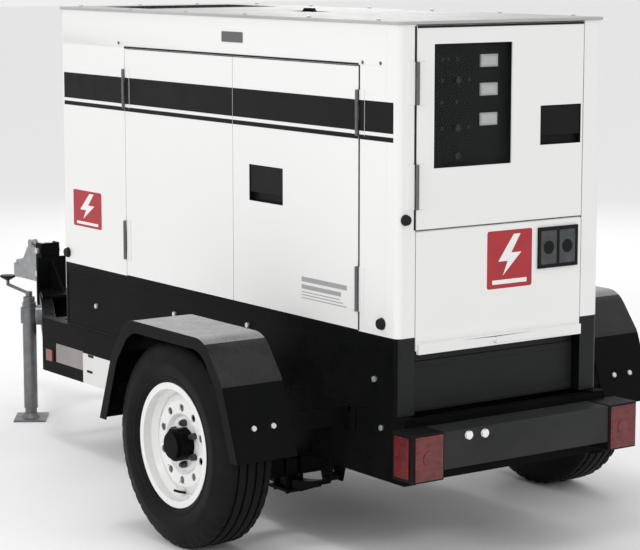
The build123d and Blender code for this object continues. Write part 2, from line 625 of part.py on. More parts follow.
tube = fused(rod(JACK_R, (JACK_X, JACK_Y, TUBE_Z0), (0, 0, 1), TUBE_Z1 - TUBE_Z0),
             rod(COLLAR_R, (JACK_X, JACK_Y, JACK_PIVOT_Z - COLLAR_H / 2), (0, 0, 1), COLLAR_H),
             rod(SWIVEL_R, jack_point(COLLAR_R - 8), inward, swivel_face - COLLAR_R + 8),
             rod(24, (JACK_X, JACK_Y, TUBE_Z1), (0, 0, 1), 22))
tube = (tube - rod(BORE_R, (JACK_X, JACK_Y, TUBE_Z0 - 1), (0, 0, 1), TUBE_Z1 - TUBE_Z0 - 8)
        - rod(SWIVEL_PIN_R + FIT, jack_point(swivel_face - 6.5), inward, 20)
        - rod(8 + FIT, (JACK_X, JACK_Y, TUBE_Z1 + 6), (0, 0, 1), 40))
add("jack_tube", tube)

FOOT_W = 165.0
foot = (Pos(JACK_X, JACK_Y, 0) * Rot(0, 0, -JACK_SWING)
        * Box(FOOT_W, FOOT_W * 0.8, 7, align=LOW))
leg = fused(foot, rod(BORE_R - FIT, (JACK_X, JACK_Y, 5), (0, 0, 1), 395),
            Pos(JACK_X, JACK_Y, 7) * Cone(44, 27, 18, align=LOW))
leg = leg - rod(BORE_R - 5, (JACK_X, JACK_Y, 30), (0, 0, 1), 400)
add("jack_leg", leg)

KNOB = (JACK_X - 120.0, JACK_Y - 35.0)
crank_z = TUBE_Z1 + 36.0
crank = fused(rod(8, (JACK_X, JACK_Y, TUBE_Z1 + 8), (0, 0, 1), 36),
              rod(14, (JACK_X, JACK_Y, TUBE_Z1 + 22.5), (0, 0, 1), 22),
              bar(7, (JACK_X, JACK_Y, crank_z), (KNOB[0], KNOB[1], crank_z + 26)),
              rod(7, (KNOB[0], KNOB[1], crank_z + 24), (0, 0, 1), 36),
              Pos(KNOB[0], KNOB[1], crank_z + 46) * Cone(12, 32, 12, align=LOW),
              rod(32, (KNOB[0], KNOB[1], crank_z + 58), (0, 0, 1), 7))
add("jack_crank", crank)

# ---------------------------------------------------------------- fuel tank base
TANK_WALL = 4.0
POST_Y = 352.0                         # inner side of the rear corner posts
TANK_RECESS = 40.0
tank = block(X0, X1, -Y_SIDE, Y_SIDE, TANK_Z, FLOOR_Z)
tank = fillet(tank.edges().filter_by(Axis.Z), CORNER_R)
tank = tank - block(X1 - TANK_RECESS, X1 + 1, -POST_Y, POST_Y - 10, TANK_Z - 1, FLOOR_Z + 1)
tank = tank - block(X0 + 25, X1 - TANK_RECESS - TANK_WALL, -Y_SIDE + TANK_WALL, Y_SIDE - TANK_WALL,
                    TANK_Z + TANK_WALL, FLOOR_Z - TANK_WALL)
FILLER_R = 32.0
FILLER_X = X0 + 987.0
tank = tank - rod(FILLER_R, (FILLER_X, -300, FLOOR_Z - 10), (0, 0, 1), 20)
STEP_H = 45.0                          # full-width strip along the top of the tank
TANK_STEP = 2.0                        # the sides below it stand back this much
side_step = block(X0 + 30, X1 - 30, -Y_SIDE - 1, -Y_SIDE + TANK_STEP, TANK_Z + 12, FLOOR_Z - STEP_H)
tank = tank - side_step - mirrored(side_step)
add("fuel_tank", tank)
cover_x = X1 - TANK_RECESS
add("tank_cover", block(cover_x, cover_x + 6, -POST_Y + 4, POST_Y - 14, TANK_Z + 8, FLOOR_Z - 86)
    - block(cover_x + 3, cover_x + 7, -POST_Y + 24, POST_Y - 34, TANK_Z + 28, FLOOR_Z - 106))

# ---------------------------------------------------------------- enclosure
OPEN_X0 = X0 + 487.0                   # side door opening
OPEN_X1 = X1 - 205.0
OPEN_Z1 = FLOOR_Z + 848.0
COLUMN = 60.0                          # depth of the rear corner columns
COLUMN_X = X1 - COLUMN
SEAM_Z = FLOOR_Z + 850.0
SEAM_X = X1 - 937.5                    # where the two leaves meet
HINGE_H = 145.0
hinge_zs = [FLOOR_Z + 699.0, FLOOR_Z + 136.0]


def side_wall():
    """Left wall around the door opening, hollow from the inside."""
    wall = block(X0, COLUMN_X, -Y_SIDE, -Y_IN, FLOOR_Z, WALL_TOP)
    edge = wall.edges().filter_by(Axis.Z).sort_by(Axis.X)[:2].sort_by(Axis.Y)[0]
    wall = fillet(edge, CORNER_R)
    hollow = (block(X0 + WALL, COLUMN_X - SKIN, -Y_SIDE + SKIN, -Y_IN + 1,
                    FLOOR_Z + SKIN, WALL_TOP - SKIN)
              - block(OPEN_X0 - SKIN, OPEN_X1 + SKIN, -Y_SIDE, -Y_IN + 2, FLOOR_Z, OPEN_Z1 + SKIN))
    wall = wall - hollow
    wall = wall - block(OPEN_X0, OPEN_X1, -Y_SIDE - 1, -Y_IN + 1, FLOOR_Z - 1, OPEN_Z1)
    return wall - block(X0 + CORNER_R, COLUMN_X, -Y_SIDE - 1, -Y_SIDE + 1.2, SEAM_Z - 1, SEAM_Z + 1.5)


front_hinge_x = OPEN_X0 + DOOR_GAP / 2
rear_hinge_x = OPEN_X1 - DOOR_GAP / 2


def leaf_door(x0, x1, latch_centre):
    """Left door leaf, hollow from the inside, with a latch pan if it carries one."""
    z0 = FLOOR_Z + DOOR_GAP
    z1 = OPEN_Z1 - DOOR_GAP
    door = (block(x0, x1, -Y_SIDE, -Y_IN, z0, z1)
            - block(x0 + SKIN, x1 - SKIN, -Y_SIDE + SKIN, -Y_IN + 1, z0 + SKIN, z1 - SKIN))
    if latch_centre is None:
        return door, None
    face = Plane(origin=(latch_centre[0], -Y_SIDE, latch_centre[1]), x_dir=(1, 0, 0), z_dir=(0, -1, 0))
    pan, pocket, paddle = paddle_latch(face, SIDE_LATCH[0], SIDE_LATCH[1])
    return fused(door, pan) - pocket, paddle


SIDE_LATCH = (202.0, 123.0)
side_latch_at = (X1 - 734.0, FLOOR_Z + 424.5)
front_leaf, _ = leaf_door(OPEN_X0 + DOOR_GAP, SEAM_X - DOOR_GAP / 2, None)
rear_leaf, side_paddle = leaf_door(SEAM_X + DOOR_GAP / 2, OPEN_X1 - DOOR_GAP, side_latch_at)
wall_left = side_wall()
for hinge_z in hinge_zs:
    front_plane = Plane(origin=(front_hinge_x, -Y_SIDE, hinge_z), x_dir=(1, 0, 0), z_dir=(0, 0, -1))
    rear_plane = Plane(origin=(rear_hinge_x, -Y_SIDE, hinge_z), x_dir=(-1, 0, 0), z_dir=(0, 0, 1))
    fixed, moving = strip_hinge(front_plane, HINGE_H)
    wall_left = fused(wall_left, fixed)
    front_leaf = fused(front_leaf, moving)
    fixed, moving = strip_hinge(rear_plane, HINGE_H)
    wall_left = fused(wall_left, fixed)
    rear_leaf = fused(rear_leaf, moving)
add("side_wall_left", wall_left)
add("side_wall_right", mirrored(wall_left))
add("door_left_front", front_leaf)
add("door_left_rear", rear_leaf)
add("door_right_front", mirrored(front_leaf))
add("door_right_rear", mirrored(rear_leaf))
add("latch_left", side_paddle)
add("latch_right", mirrored(side_paddle))

# Front wall with air slots
front_wall = (block(X0, X0 + WALL, -Y_IN, Y_IN, FLOOR_Z, WALL_TOP)
              - block(X0 + SKIN, X0 + WALL + 1, -Y_IN + SKIN, Y_IN - SKIN, FLOOR_Z + SKIN, WALL_TOP - SKIN))
SLOTS = 9
for i in range(SLOTS):
    slot_z = FLOOR_Z + 160 + i * 60
    front_wall = front_wall - block(X0 - 1, X0 + WALL, -260, 260, slot_z, slot_z + 22)
add("front_wall", front_wall)

# Rear frame: corner columns, and rails behind the edges of the doors
CONTROL_Z0 = FLOOR_Z + 340.0
CONTROL_Z1 = FLOOR_Z + 976.0
CONTROL_Y0 = -POST_Y + DOOR_GAP
CONTROL_Y1 = POST_Y - 10 - DOOR_GAP
TERMINAL_Z0 = FLOOR_Z - 45.0
TERMINAL_Z1 = FLOOR_Z + 335.0
left_column = block(COLUMN_X, X1, -Y_SIDE, -POST_Y, FLOOR_Z, WALL_TOP)
left_edge = left_column.edges().filter_by(Axis.Z).sort_by(Axis.X)[-2:].sort_by(Axis.Y)[0]
left_column = fillet(left_edge, CORNER_R)
left_column = left_column - block(COLUMN_X - 1, X1 - CORNER_R, -Y_SIDE + 22, -POST_Y - 6,
                                  FLOOR_Z + SKIN, WALL_TOP - SKIN)
right_column = block(COLUMN_X, X1, POST_Y - 10, Y_SIDE, FLOOR_Z, WALL_TOP)
right_edge = right_column.edges().filter_by(Axis.Z).sort_by(Axis.X)[-2:].sort_by(Axis.Y)[-1]
right_column = fillet(right_edge, CORNER_R)
right_column = right_column - block(COLUMN_X - 1, X1 - CORNER_R, POST_Y - 4, Y_SIDE - 22,
                                    FLOOR_Z + SKIN, WALL_TOP - SKIN)
RAIL_BACK = 33.0
rail_spans = [(FLOOR_Z, FLOOR_Z + 30), (CONTROL_Z0 - 25, CONTROL_Z0 + 18),
              (WALL_TOP - 30, WALL_TOP)]
rear_frame = fused(left_column, right_column)
for low, high in rail_spans:
    rear_frame = fused(rear_frame, block(COLUMN_X, X1 - RAIL_BACK, -POST_Y - 1, POST_Y - 9, low, high))
TERMINAL_PIN_R = 5.0
terminal_axis_x = X1 - WALL / 2
terminal_axis_z = TERMINAL_Z1 - 16.0
rear_frame = rear_frame - rod(TERMINAL_PIN_R + FIT, (terminal_axis_x, -POST_Y - 12, terminal_axis_z),
                              (0, 1, 0), 2 * POST_Y + 14)

# Control door with a window and a latch
WINDOW = (-280.0, 36.0, FLOOR_Z + 530.0, FLOOR_Z + 918.0)
CONTROL_LATCH = (173.0, 127.0)
control_latch_at = (243.5, FLOOR_Z + 645.5)
control_door = (block(X1 - WALL, X1, CONTROL_Y0, CONTROL_Y1, CONTROL_Z0, CONTROL_Z1)
                - block(X1 - WALL - 1, X1 - SKIN, CONTROL_Y0 + SKIN, CONTROL_Y1 - SKIN,
                        CONTROL_Z0 + SKIN, CONTROL_Z1 - SKIN))
window_rim = block(X1 - 12, X1 - 1, WINDOW[0] - 12, WINDOW[1] + 12, WINDOW[2] - 12, WINDOW[3] + 12)
window_seat = block(X1 - 13, X1 - 6, WINDOW[0] - 6, WINDOW[1] + 6, WINDOW[2] - 6, WINDOW[3] + 6)
window_hole = block(X1 - WALL - 1, X1 + 1, WINDOW[0], WINDOW[1], WINDOW[2], WINDOW[3])
control_face = Plane(origin=(X1, control_latch_at[0], control_latch_at[1]),
                     x_dir=(0, 1, 0), z_dir=(1, 0, 0))
control_pan, control_pocket, control_paddle = paddle_latch(control_face, *CONTROL_LATCH)
control_door = fused(control_door, window_rim, control_pan) - window_seat - window_hole - control_pocket
control_hinge_y = CONTROL_Y0 - 1.5
for hinge_z, hinge_h in ((FLOOR_Z + 798.5, 133.0), (FLOOR_Z + 475.5, 141.0)):
    plane = Plane(origin=(X1, control_hinge_y, hinge_z), x_dir=(0, 1, 0), z_dir=(0, 0, -1))
    fixed, moving = strip_hinge(plane, hinge_h)
    rear_frame = fused(rear_frame, fixed)
    control_door = fused(control_door, moving)
add("rear_frame", rear_frame)
add("control_door", control_door)
add("control_latch", control_paddle)
add("control_window", block(X1 - 10, X1 - 6, WINDOW[0] - 6, WINDOW[1] + 6, WINDOW[2] - 6, WINDOW[3] + 6))

# Terminal door below it, turning on two pins near its top edge
terminal = block(X1 - WALL, X1, CONTROL_Y0, CONTROL_Y1, TERMINAL_Z0, TERMINAL_Z1)
terminal = fillet(terminal.edges().filter_by(Axis.Y).sort_by(Axis.Z)[-2:], 8)
terminal = terminal - block(X1 - WALL - 1, X1 - SKIN, CONTROL_Y0 + 16, CONTROL_Y1 - 16,
                            TERMINAL_Z0 + SKIN, TERMINAL_Z1 - 26)
terminal_lip = block(X1 - 1, X1 + 14, CONTROL_Y0 + 4, CONTROL_Y1 - 4, TERMINAL_Z0 - 10, TERMINAL_Z0 + 24)
terminal_pins = rod(TERMINAL_PIN_R, (terminal_axis_x, CONTROL_Y0 - 9, terminal_axis_z), (0, 1, 0),
                    CONTROL_Y1 - CONTROL_Y0 + 18)
terminal_knob = rod(9, (X1 + 13, -33, TERMINAL_Z0 + 8), (1, 0, 0), 14)
add("terminal_door", fused(terminal, terminal_lip, terminal_pins, terminal_knob))

SOCKET = (151.0, 321.0, FLOOR_Z + 177.0, FLOOR_Z + 312.0)
socket_frame = block(X1, X1 + 8, *SOCKET)
pane_mid = (SOCKET[0] + SOCKET[1]) / 2
for low, high in ((SOCKET[0] + 10, pane_mid - 5), (pane_mid + 5, SOCKET[1] - 10)):
    socket_frame = socket_frame - block(X1 + 4, X1 + 9, low, high, SOCKET[2] + 12, SOCKET[3] - 12)
add("socket_windows", socket_frame)

# Roof with a discharge grille and a well for the lifting eye
GRILLE = (X0 + 87.0, X0 + 467.0, 300.0)
EYE_X = X1 - 1080.0
roof = block(X0 - ROOF_LIP, X1 + ROOF_LIP, -Y_SIDE - ROOF_LIP, Y_SIDE + ROOF_LIP, WALL_TOP, ROOF_Z)
roof = fillet(roof.edges().filter_by(Axis.Z), CORNER_R)
roof = fillet(roof.edges().group_by(Axis.Z)[-1], 3)
roof = roof - block(X0 + WALL + 8, COLUMN_X - 8, -Y_IN + 8, Y_IN - 8, WALL_TOP - 1, ROOF_Z - SKIN)
roof = roof - block(GRILLE[0], GRILLE[1], -GRILLE[2], GRILLE[2], WALL_TOP, ROOF_Z + 1)
roof = roof - block(EYE_X - 85, EYE_X + 85, -45, 45, WALL_TOP, ROOF_Z + 1)
add("roof_panel", roof)

grille = (block(GRILLE[0], GRILLE[1], -GRILLE[2], GRILLE[2], ROOF_Z - SKIN - 14, ROOF_Z - 1)
          - block(GRILLE[0] + 10, GRILLE[1] - 10, -GRILLE[2] + 10, GRILLE[2] - 10, WALL_TOP - 30, ROOF_Z))
SLATS = 11
for i in range(1, SLATS + 1):
    slat_y = -GRILLE[2] + i * 2 * GRILLE[2] / (SLATS + 1)
    grille = fused(grille, block(GRILLE[0] + 9, GRILLE[1] - 9, slat_y - 3, slat_y + 3,
                                 ROOF_Z - SKIN - 14, ROOF_Z - 3))
add("roof_grille", grille)

# Lifting frame: two posts, a crossbeam under the roof and the eye plate
POST = 50.0
EYE_HOLE_R = 20.0
EYE_Z = ROOF_Z - 18.0
beam_z = WALL_TOP - 55.0
lift_posts = [block(EYE_X - POST / 2, EYE_X + POST / 2, side * 360 - POST / 2, side * 360 + POST / 2,
                    FLOOR_Z, beam_z) for side in (-1, 1)]
lift_beam = block(EYE_X - POST / 2, EYE_X + POST / 2, -360 - POST / 2, 360 + POST / 2,
                  beam_z - 60, beam_z)
eye_plate = side_profile([(EYE_X - 60, beam_z - 30), (EYE_X + 60, beam_z - 30),
                          (EYE_X + 45, EYE_Z + 10), (EYE_X + 22, EYE_Z + 30),
                          (EYE_X - 22, EYE_Z + 30), (EYE_X - 45, EYE_Z + 10)], -8, 8)
lift = fused(lift_posts[0], lift_posts[1], lift_beam, eye_plate)
lift = lift - rod(EYE_HOLE_R, (EYE_X, -20, EYE_Z), (0, 1, 0), 40)
for side in (-1, 1):
    lift = lift - block(EYE_X - POST / 2 + 5, EYE_X + POST / 2 - 5, side * 360 - POST / 2 + 5,
                        side * 360 + POST / 2 - 5, FLOOR_Z - 1, beam_z - 10)
add("lifting_frame", lift)

# ---------------------------------------------------------------- small outside fittings
BOLT_HEAD = 17.0
BOLT_HEAD_H = 7.0
bolts = []
roof_bolt_z = ROOF_Z
for y in (-340, -75, 190):
    bolts.append(hexagon(13, (X0 + 22, y, roof_bolt_z), (0, 0, 1), 5))
for i in range(6):
    for side in (-1, 1):
        bolts.append(hexagon(13, (X0 + 130 + i * 380, side * (Y_SIDE - 18), roof_bolt_z), (0, 0, 1), 5))
tank_bolt_xz = [(X1 - 1902, FLOOR_Z - 146), (X1 - 1329, FLOOR_Z - 99), (X1 - 848, FLOOR_Z - 72),
                (X1 - 115, FLOOR_Z - 143)]
for x, z in tank_bolt_xz:
    bolts += both(hexagon(BOLT_HEAD, (x, -Y_SIDE + TANK_STEP, z), (0, -1, 0), BOLT_HEAD_H + TANK_STEP))
bolts += both(hexagon(BOLT_HEAD, (X1 - 77, -Y_SIDE, TANK_Z - 45), (0, -1, 0), BOLT_HEAD_H))
flap_normal_angle = math.atan2(TAIL[0] - KNEE[0], KNEE[1] - TAIL[1])
flap_mid_z = (ARM_Z0 + ARM_Z1) / 2
for side in (-1, 1):
    normal = (side * math.cos(flap_normal_angle), 0, math.sin(flap_normal_angle))
    for y in (-Y_SKIRT + 159, -Y_SKIRT + 85):
        start = (AXLE_X + side * flap_x(flap_mid_z, 0), y, flap_mid_z)
        bolts += both(hexagon(BOLT_HEAD, start, normal, BOLT_HEAD_H))
for level in (2, 4):
    hole_z = HITCH_Z0 + 35 + level * 50
    bolts += both(hexagon(24, (hitch_bolt_x, -HITCH_W / 2, hole_z), (0, -1, 0), 12))
add("hex_bolts", bolts)

PLUG_R = 20.0
PLUG_H = 14.0
plugs = []
for x, z in ((X1 - 79, FLOOR_Z + 40), (X0 + 37, FLOOR_Z + 38)):
    seat = Plane(origin=(x, -Y_SIDE, z), z_dir=(0, -1, 0))
    plugs += both(seat * Cone(PLUG_R, PLUG_R - 4, PLUG_H, align=LOW))
rear_seat = Plane(origin=(X1, -392, FLOOR_Z + 375), z_dir=(1, 0, 0))
plugs.append(rear_seat * Cone(PLUG_R - 2, PLUG_R - 5, PLUG_H, align=LOW))
add("rubber_plugs", plugs)

add("side_reflectors", both(block(RAIL_X0 + 42, RAIL_X0 + 91, -Y_SIDE - 7, -Y_SIDE,
                                  RAIL_Z + 48, RAIL_Z + 94)))
add("data_plates",
    block(RAIL_X0 + 118, RAIL_X0 + 334, -Y_SIDE - 2, -Y_SIDE, RAIL_Z + 50, RAIL_Z + 125),
    block(RAIL_X0 + 337, RAIL_X0 + 550, -Y_SIDE - 3, -Y_SIDE, RAIL_Z + 2, RAIL_Z + 120))

# ---------------------------------------------------------------- inside the enclosure
BLOCK_X0 = X0 + 247.0
BLOCK_X1 = BLOCK_X0 + 640.0
SHAFT_Z = FLOOR_Z + 280.0
BELL_X1 = BLOCK_X1 + 90.0
block_body = fused(block(BLOCK_X0, BLOCK_X1, -150, 150, SHAFT_Z - 70, SHAFT_Z + 160),
                   block(BLOCK_X0 + 20, BLOCK_X1 - 20, -110, 110, SHAFT_Z - 200, SHAFT_Z - 69),
                   rod(215, (BLOCK_X1 - 1, 0, SHAFT_Z), (1, 0, 0), BELL_X1 - BLOCK_X1 + 1))
for x in (BLOCK_X0 + 60, BLOCK_X1 - 60):
    for side in (-1, 1):
        inner_y = side * 145
        outer_y = side * 245
        foot_y = sorted((inner_y, outer_y))
        foot = block(x - 25, x + 25, foot_y[0], foot_y[1], SHAFT_Z - 70, SHAFT_Z - 50)
        block_body = fused(block_body, foot,
                           rod(28, (x, side * 215, FLOOR_Z), (0, 0, 1), SHAFT_Z - 69 - FLOOR_Z))
block_body = block_body - block(BLOCK_X0 + 40, BLOCK_X1 - 40, -90, 90, SHAFT_Z - 201, SHAFT_Z + 100)
CRANK_R = 15.0
block_body = fused(block_body, rod(CRANK_R, (BLOCK_X0 + 1, 0, SHAFT_Z), (-1, 0, 0), 86))
add("engine_block", block_body)

head_z = SHAFT_Z + 160
head = fused(block(BLOCK_X0 + 10, BLOCK_X1 - 10, -125, 125, head_z, head_z + 80),
             block(BLOCK_X0 + 40, BLOCK_X1 - 40, -85, 85, head_z + 80, head_z + 150))
for i in range(4):
    runner_x = BLOCK_X0 + 90 + i * 150
    head = fused(head, rod(20, (runner_x, 120, head_z + 42), (0, 1, 0), 45))
head = fused(head, block(BLOCK_X0 + 60, BLOCK_X1 - 70, 160, 200, head_z + 18, head_z + 66))
add("engine_head", head)

ALT_R = 205.0
ALT_X1 = BELL_X1 + 580.0
alternator = (rod(ALT_R, (BELL_X1, 0, SHAFT_Z), (1, 0, 0), ALT_X1 - BELL_X1)
              - rod(ALT_R - 28, (BELL_X1 + 20, 0, SHAFT_Z), (1, 0, 0), ALT_X1 - BELL_X1 - 20 - 20))
for i in range(8):
    angle = math.radians(45 * i)
    vent = rod(28, (ALT_X1 - 30, 120 * math.cos(angle), SHAFT_Z + 120 * math.sin(angle)), (1, 0, 0), 40)
    alternator = alternator - vent
for side in (-1, 1):
    feet_y = sorted((side * 120, side * 190))
    alternator = fused(alternator, block(ALT_X1 - 170, ALT_X1 - 90, feet_y[0], feet_y[1],
                                         FLOOR_Z, SHAFT_Z - 110))
alternator = fused(alternator, block(ALT_X1 - 260, ALT_X1 - 60, -110, 110,
                                     SHAFT_Z + ALT_R - 30, SHAFT_Z + ALT_R + 60))
add("alternator", alternator)

RAD_X0 = X0 + 80.0
RAD_T = 60.0
radiator = fused(block(RAD_X0, RAD_X0 + RAD_T, -290, 290, FLOOR_Z + 60, FLOOR_Z + 640),
                 block(RAD_X0 - 12, RAD_X0 + RAD_T + 12, -300, 300, FLOOR_Z + 640, FLOOR_Z + 700),
                 block(RAD_X0 - 12, RAD_X0 + RAD_T + 12, -300, 300, FLOOR_Z, FLOOR_Z + 60),
                 rod(28, (RAD_X0 + RAD_T / 2, 0, FLOOR_Z + 699), (0, 0, 1), 22))
for i in range(14):
    fin_z = FLOOR_Z + 80 + i * 40
    radiator = radiator - block(RAD_X0 - 1, RAD_X0 + 8, -270, 270, fin_z, fin_z + 20)
    radiator = radiator - block(RAD_X0 + RAD_T - 8, RAD_X0 + RAD_T + 1, -270, 270, fin_z, fin_z + 20)
add("radiator", radiator)

FAN_R = 205.0
fan_x = BLOCK_X0 - 70.0
fan = rod(48, (fan_x, 0, SHAFT_Z), (1, 0, 0), 40)
for i in range(6):
    blade = Pos(0, 0, 120) * Rot(0, 0, 35) * Box(4, 72, 170)
    blade = Pos(fan_x + 20, 0, SHAFT_Z) * Rot(60 * i, 0, 0) * blade
    fan = fused(fan, blade)
fan = fan - rod(CRANK_R + FIT, (fan_x - 10, 0, SHAFT_Z), (1, 0, 0), 80)
add("cooling_fan", fan)

MUFFLER = (BLOCK_X0 + 60, BLOCK_X1 - 80, 180.0, FLOOR_Z + 740.0, 82.0)   # x0, x1, y, z, radius
muffler_y, muffler_z = MUFFLER[2], MUFFLER[3]
tail_x = MUFFLER[0] - 60
runner_xs = (BLOCK_X1 - 150, BLOCK_X0 + 130)
muffler = fused(rod(MUFFLER[4], (MUFFLER[0], muffler_y, muffler_z), (1, 0, 0), MUFFLER[1] - MUFFLER[0]),
                bar(24, (runner_xs[0], muffler_y, head_z + 66), (runner_xs[0], muffler_y, muffler_z - 60)),
                bar(24, (runner_xs[1], muffler_y, head_z + 66), (runner_xs[1], muffler_y, muffler_z - 60)),
                bar(26, (MUFFLER[0] + 1, muffler_y, muffler_z), (tail_x, muffler_y, muffler_z)),
                bar(26, (tail_x, muffler_y, muffler_z - 26), (tail_x, muffler_y, ROOF_Z - 40)))
add("muffler", muffler)

cleaner_z = SHAFT_Z + 420.0
intake_x = BLOCK_X1 - 80
cleaner = fused(rod(78, (BELL_X1 + 60, -130, cleaner_z), (1, 0, 0), 300),
                block(BELL_X1 + 140, BELL_X1 + 280, -160, -100, SHAFT_Z + ALT_R - 60, cleaner_z - 60),
                bar(26, (BELL_X1 + 61, -130, cleaner_z), (intake_x, -130, cleaner_z)),
                bar(26, (intake_x, -130, cleaner_z + 26), (intake_x, -130, head_z + 40)))
cleaner = cleaner - rod(ALT_R, (BELL_X1, 0, SHAFT_Z), (1, 0, 0), ALT_X1 - BELL_X1)
cleaner = cleaner - block(BLOCK_X0 + 10, BLOCK_X1 - 10, -125, 125, head_z, head_z + 80)
add("air_cleaner", cleaner)

battery_x = ALT_X1 + 90.0
battery = fused(block(battery_x, battery_x + 200, -370, -195, FLOOR_Z, FLOOR_Z + 190),
                rod(9, (battery_x + 40, -330, FLOOR_Z + 189), (0, 0, 1), 16),
                rod(9, (battery_x + 160, -330, FLOOR_Z + 189), (0, 0, 1), 16))
add("battery", battery)

# Control box behind the control door, on a stand that carries the terminal board
PANEL_X = X1 - 30.0
BOX_X0 = X1 - 230.0
box_z0 = CONTROL_Z0 + 40.0
box_z1 = WALL_TOP - 40.0
box_x1 = COLUMN_X - 4.0
control_box = (block(BOX_X0, box_x1, -335, 325, box_z0, box_z1)
               - block(BOX_X0 - 1, box_x1 - 3, -325, 315, box_z0 + 10, box_z1 - 10))
panel_plate = block(box_x1 - 1, PANEL_X, WINDOW[0] - 30, WINDOW[1] + 60, WINDOW[2] - 40, WINDOW[3] + 20)
stand = [block(BOX_X0 + 20, BOX_X0 + 60, y, y + 40, FLOOR_Z, box_z0) for y in (-330, 280)]
board = block(BOX_X0 + 20, BOX_X0 + 35, -300, 290, FLOOR_Z + 90, FLOOR_Z + 290)
lugs = [rod(14, (BOX_X0 + 34, -220 + i * 110, FLOOR_Z + 200), (1, 0, 0), 40) for i in range(5)]
add("control_box", fused(control_box, panel_plate, stand[0], stand[1], board, *lugs))

METER_ZS = [FLOOR_Z + 860.0, FLOOR_Z + 769.0, FLOOR_Z + 674.0]
METER_Y = -40.0
meters = [block(PANEL_X, PANEL_X + 6, METER_Y - 35, METER_Y + 35, z - 20, z + 20) for z in METER_ZS]
KNOB_ZS = [FLOOR_Z + 802.0, FLOOR_Z + 651.0, FLOOR_Z + 563.0]
meters += [rod(11, (PANEL_X, -169, z), (1, 0, 0), 12) for z in KNOB_ZS]
add("panel_meters", meters)

# ---------------------------------------------------------------- write the parts
os.makedirs("parts", exist_ok=True)
for name, shape in nodes.items():
    export_step(shape, f"parts/{name}.step")
print(len(nodes), "nodes")
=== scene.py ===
"""Looks for the towable diesel generator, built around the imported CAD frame. Metres, row frame."""

import json
import math

import bmesh
import bpy
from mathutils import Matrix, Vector


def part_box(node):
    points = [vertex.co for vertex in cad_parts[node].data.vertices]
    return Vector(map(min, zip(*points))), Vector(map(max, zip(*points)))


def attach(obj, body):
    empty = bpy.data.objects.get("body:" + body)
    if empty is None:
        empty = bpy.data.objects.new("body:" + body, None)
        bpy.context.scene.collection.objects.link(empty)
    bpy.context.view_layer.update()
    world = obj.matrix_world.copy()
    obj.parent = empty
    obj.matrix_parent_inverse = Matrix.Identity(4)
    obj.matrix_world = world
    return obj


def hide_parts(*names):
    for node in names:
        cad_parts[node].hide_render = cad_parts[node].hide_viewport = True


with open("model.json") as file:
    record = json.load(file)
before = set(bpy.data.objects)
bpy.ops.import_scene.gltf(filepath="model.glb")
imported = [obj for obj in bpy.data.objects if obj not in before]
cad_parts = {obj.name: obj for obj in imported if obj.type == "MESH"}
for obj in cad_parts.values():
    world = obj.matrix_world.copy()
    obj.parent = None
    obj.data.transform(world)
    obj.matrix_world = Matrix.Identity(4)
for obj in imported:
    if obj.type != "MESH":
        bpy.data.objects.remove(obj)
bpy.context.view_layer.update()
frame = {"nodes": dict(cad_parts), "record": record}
NODES = frame["nodes"]
SIDES = {"left": -1, "right": 1}

# ---------------------------------------------------------------- places read from the frame
tank_low, tank_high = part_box("fuel_tank")
socket_low, socket_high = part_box("socket_windows")
FLOOR_Z = tank_high.z
SIDE_Y = tank_high.y
FRONT_X = tank_low.x
REAR_X = tank_high.x
SKIN = 0.003
FILM = 0.0006              # thickness of stripes and decals


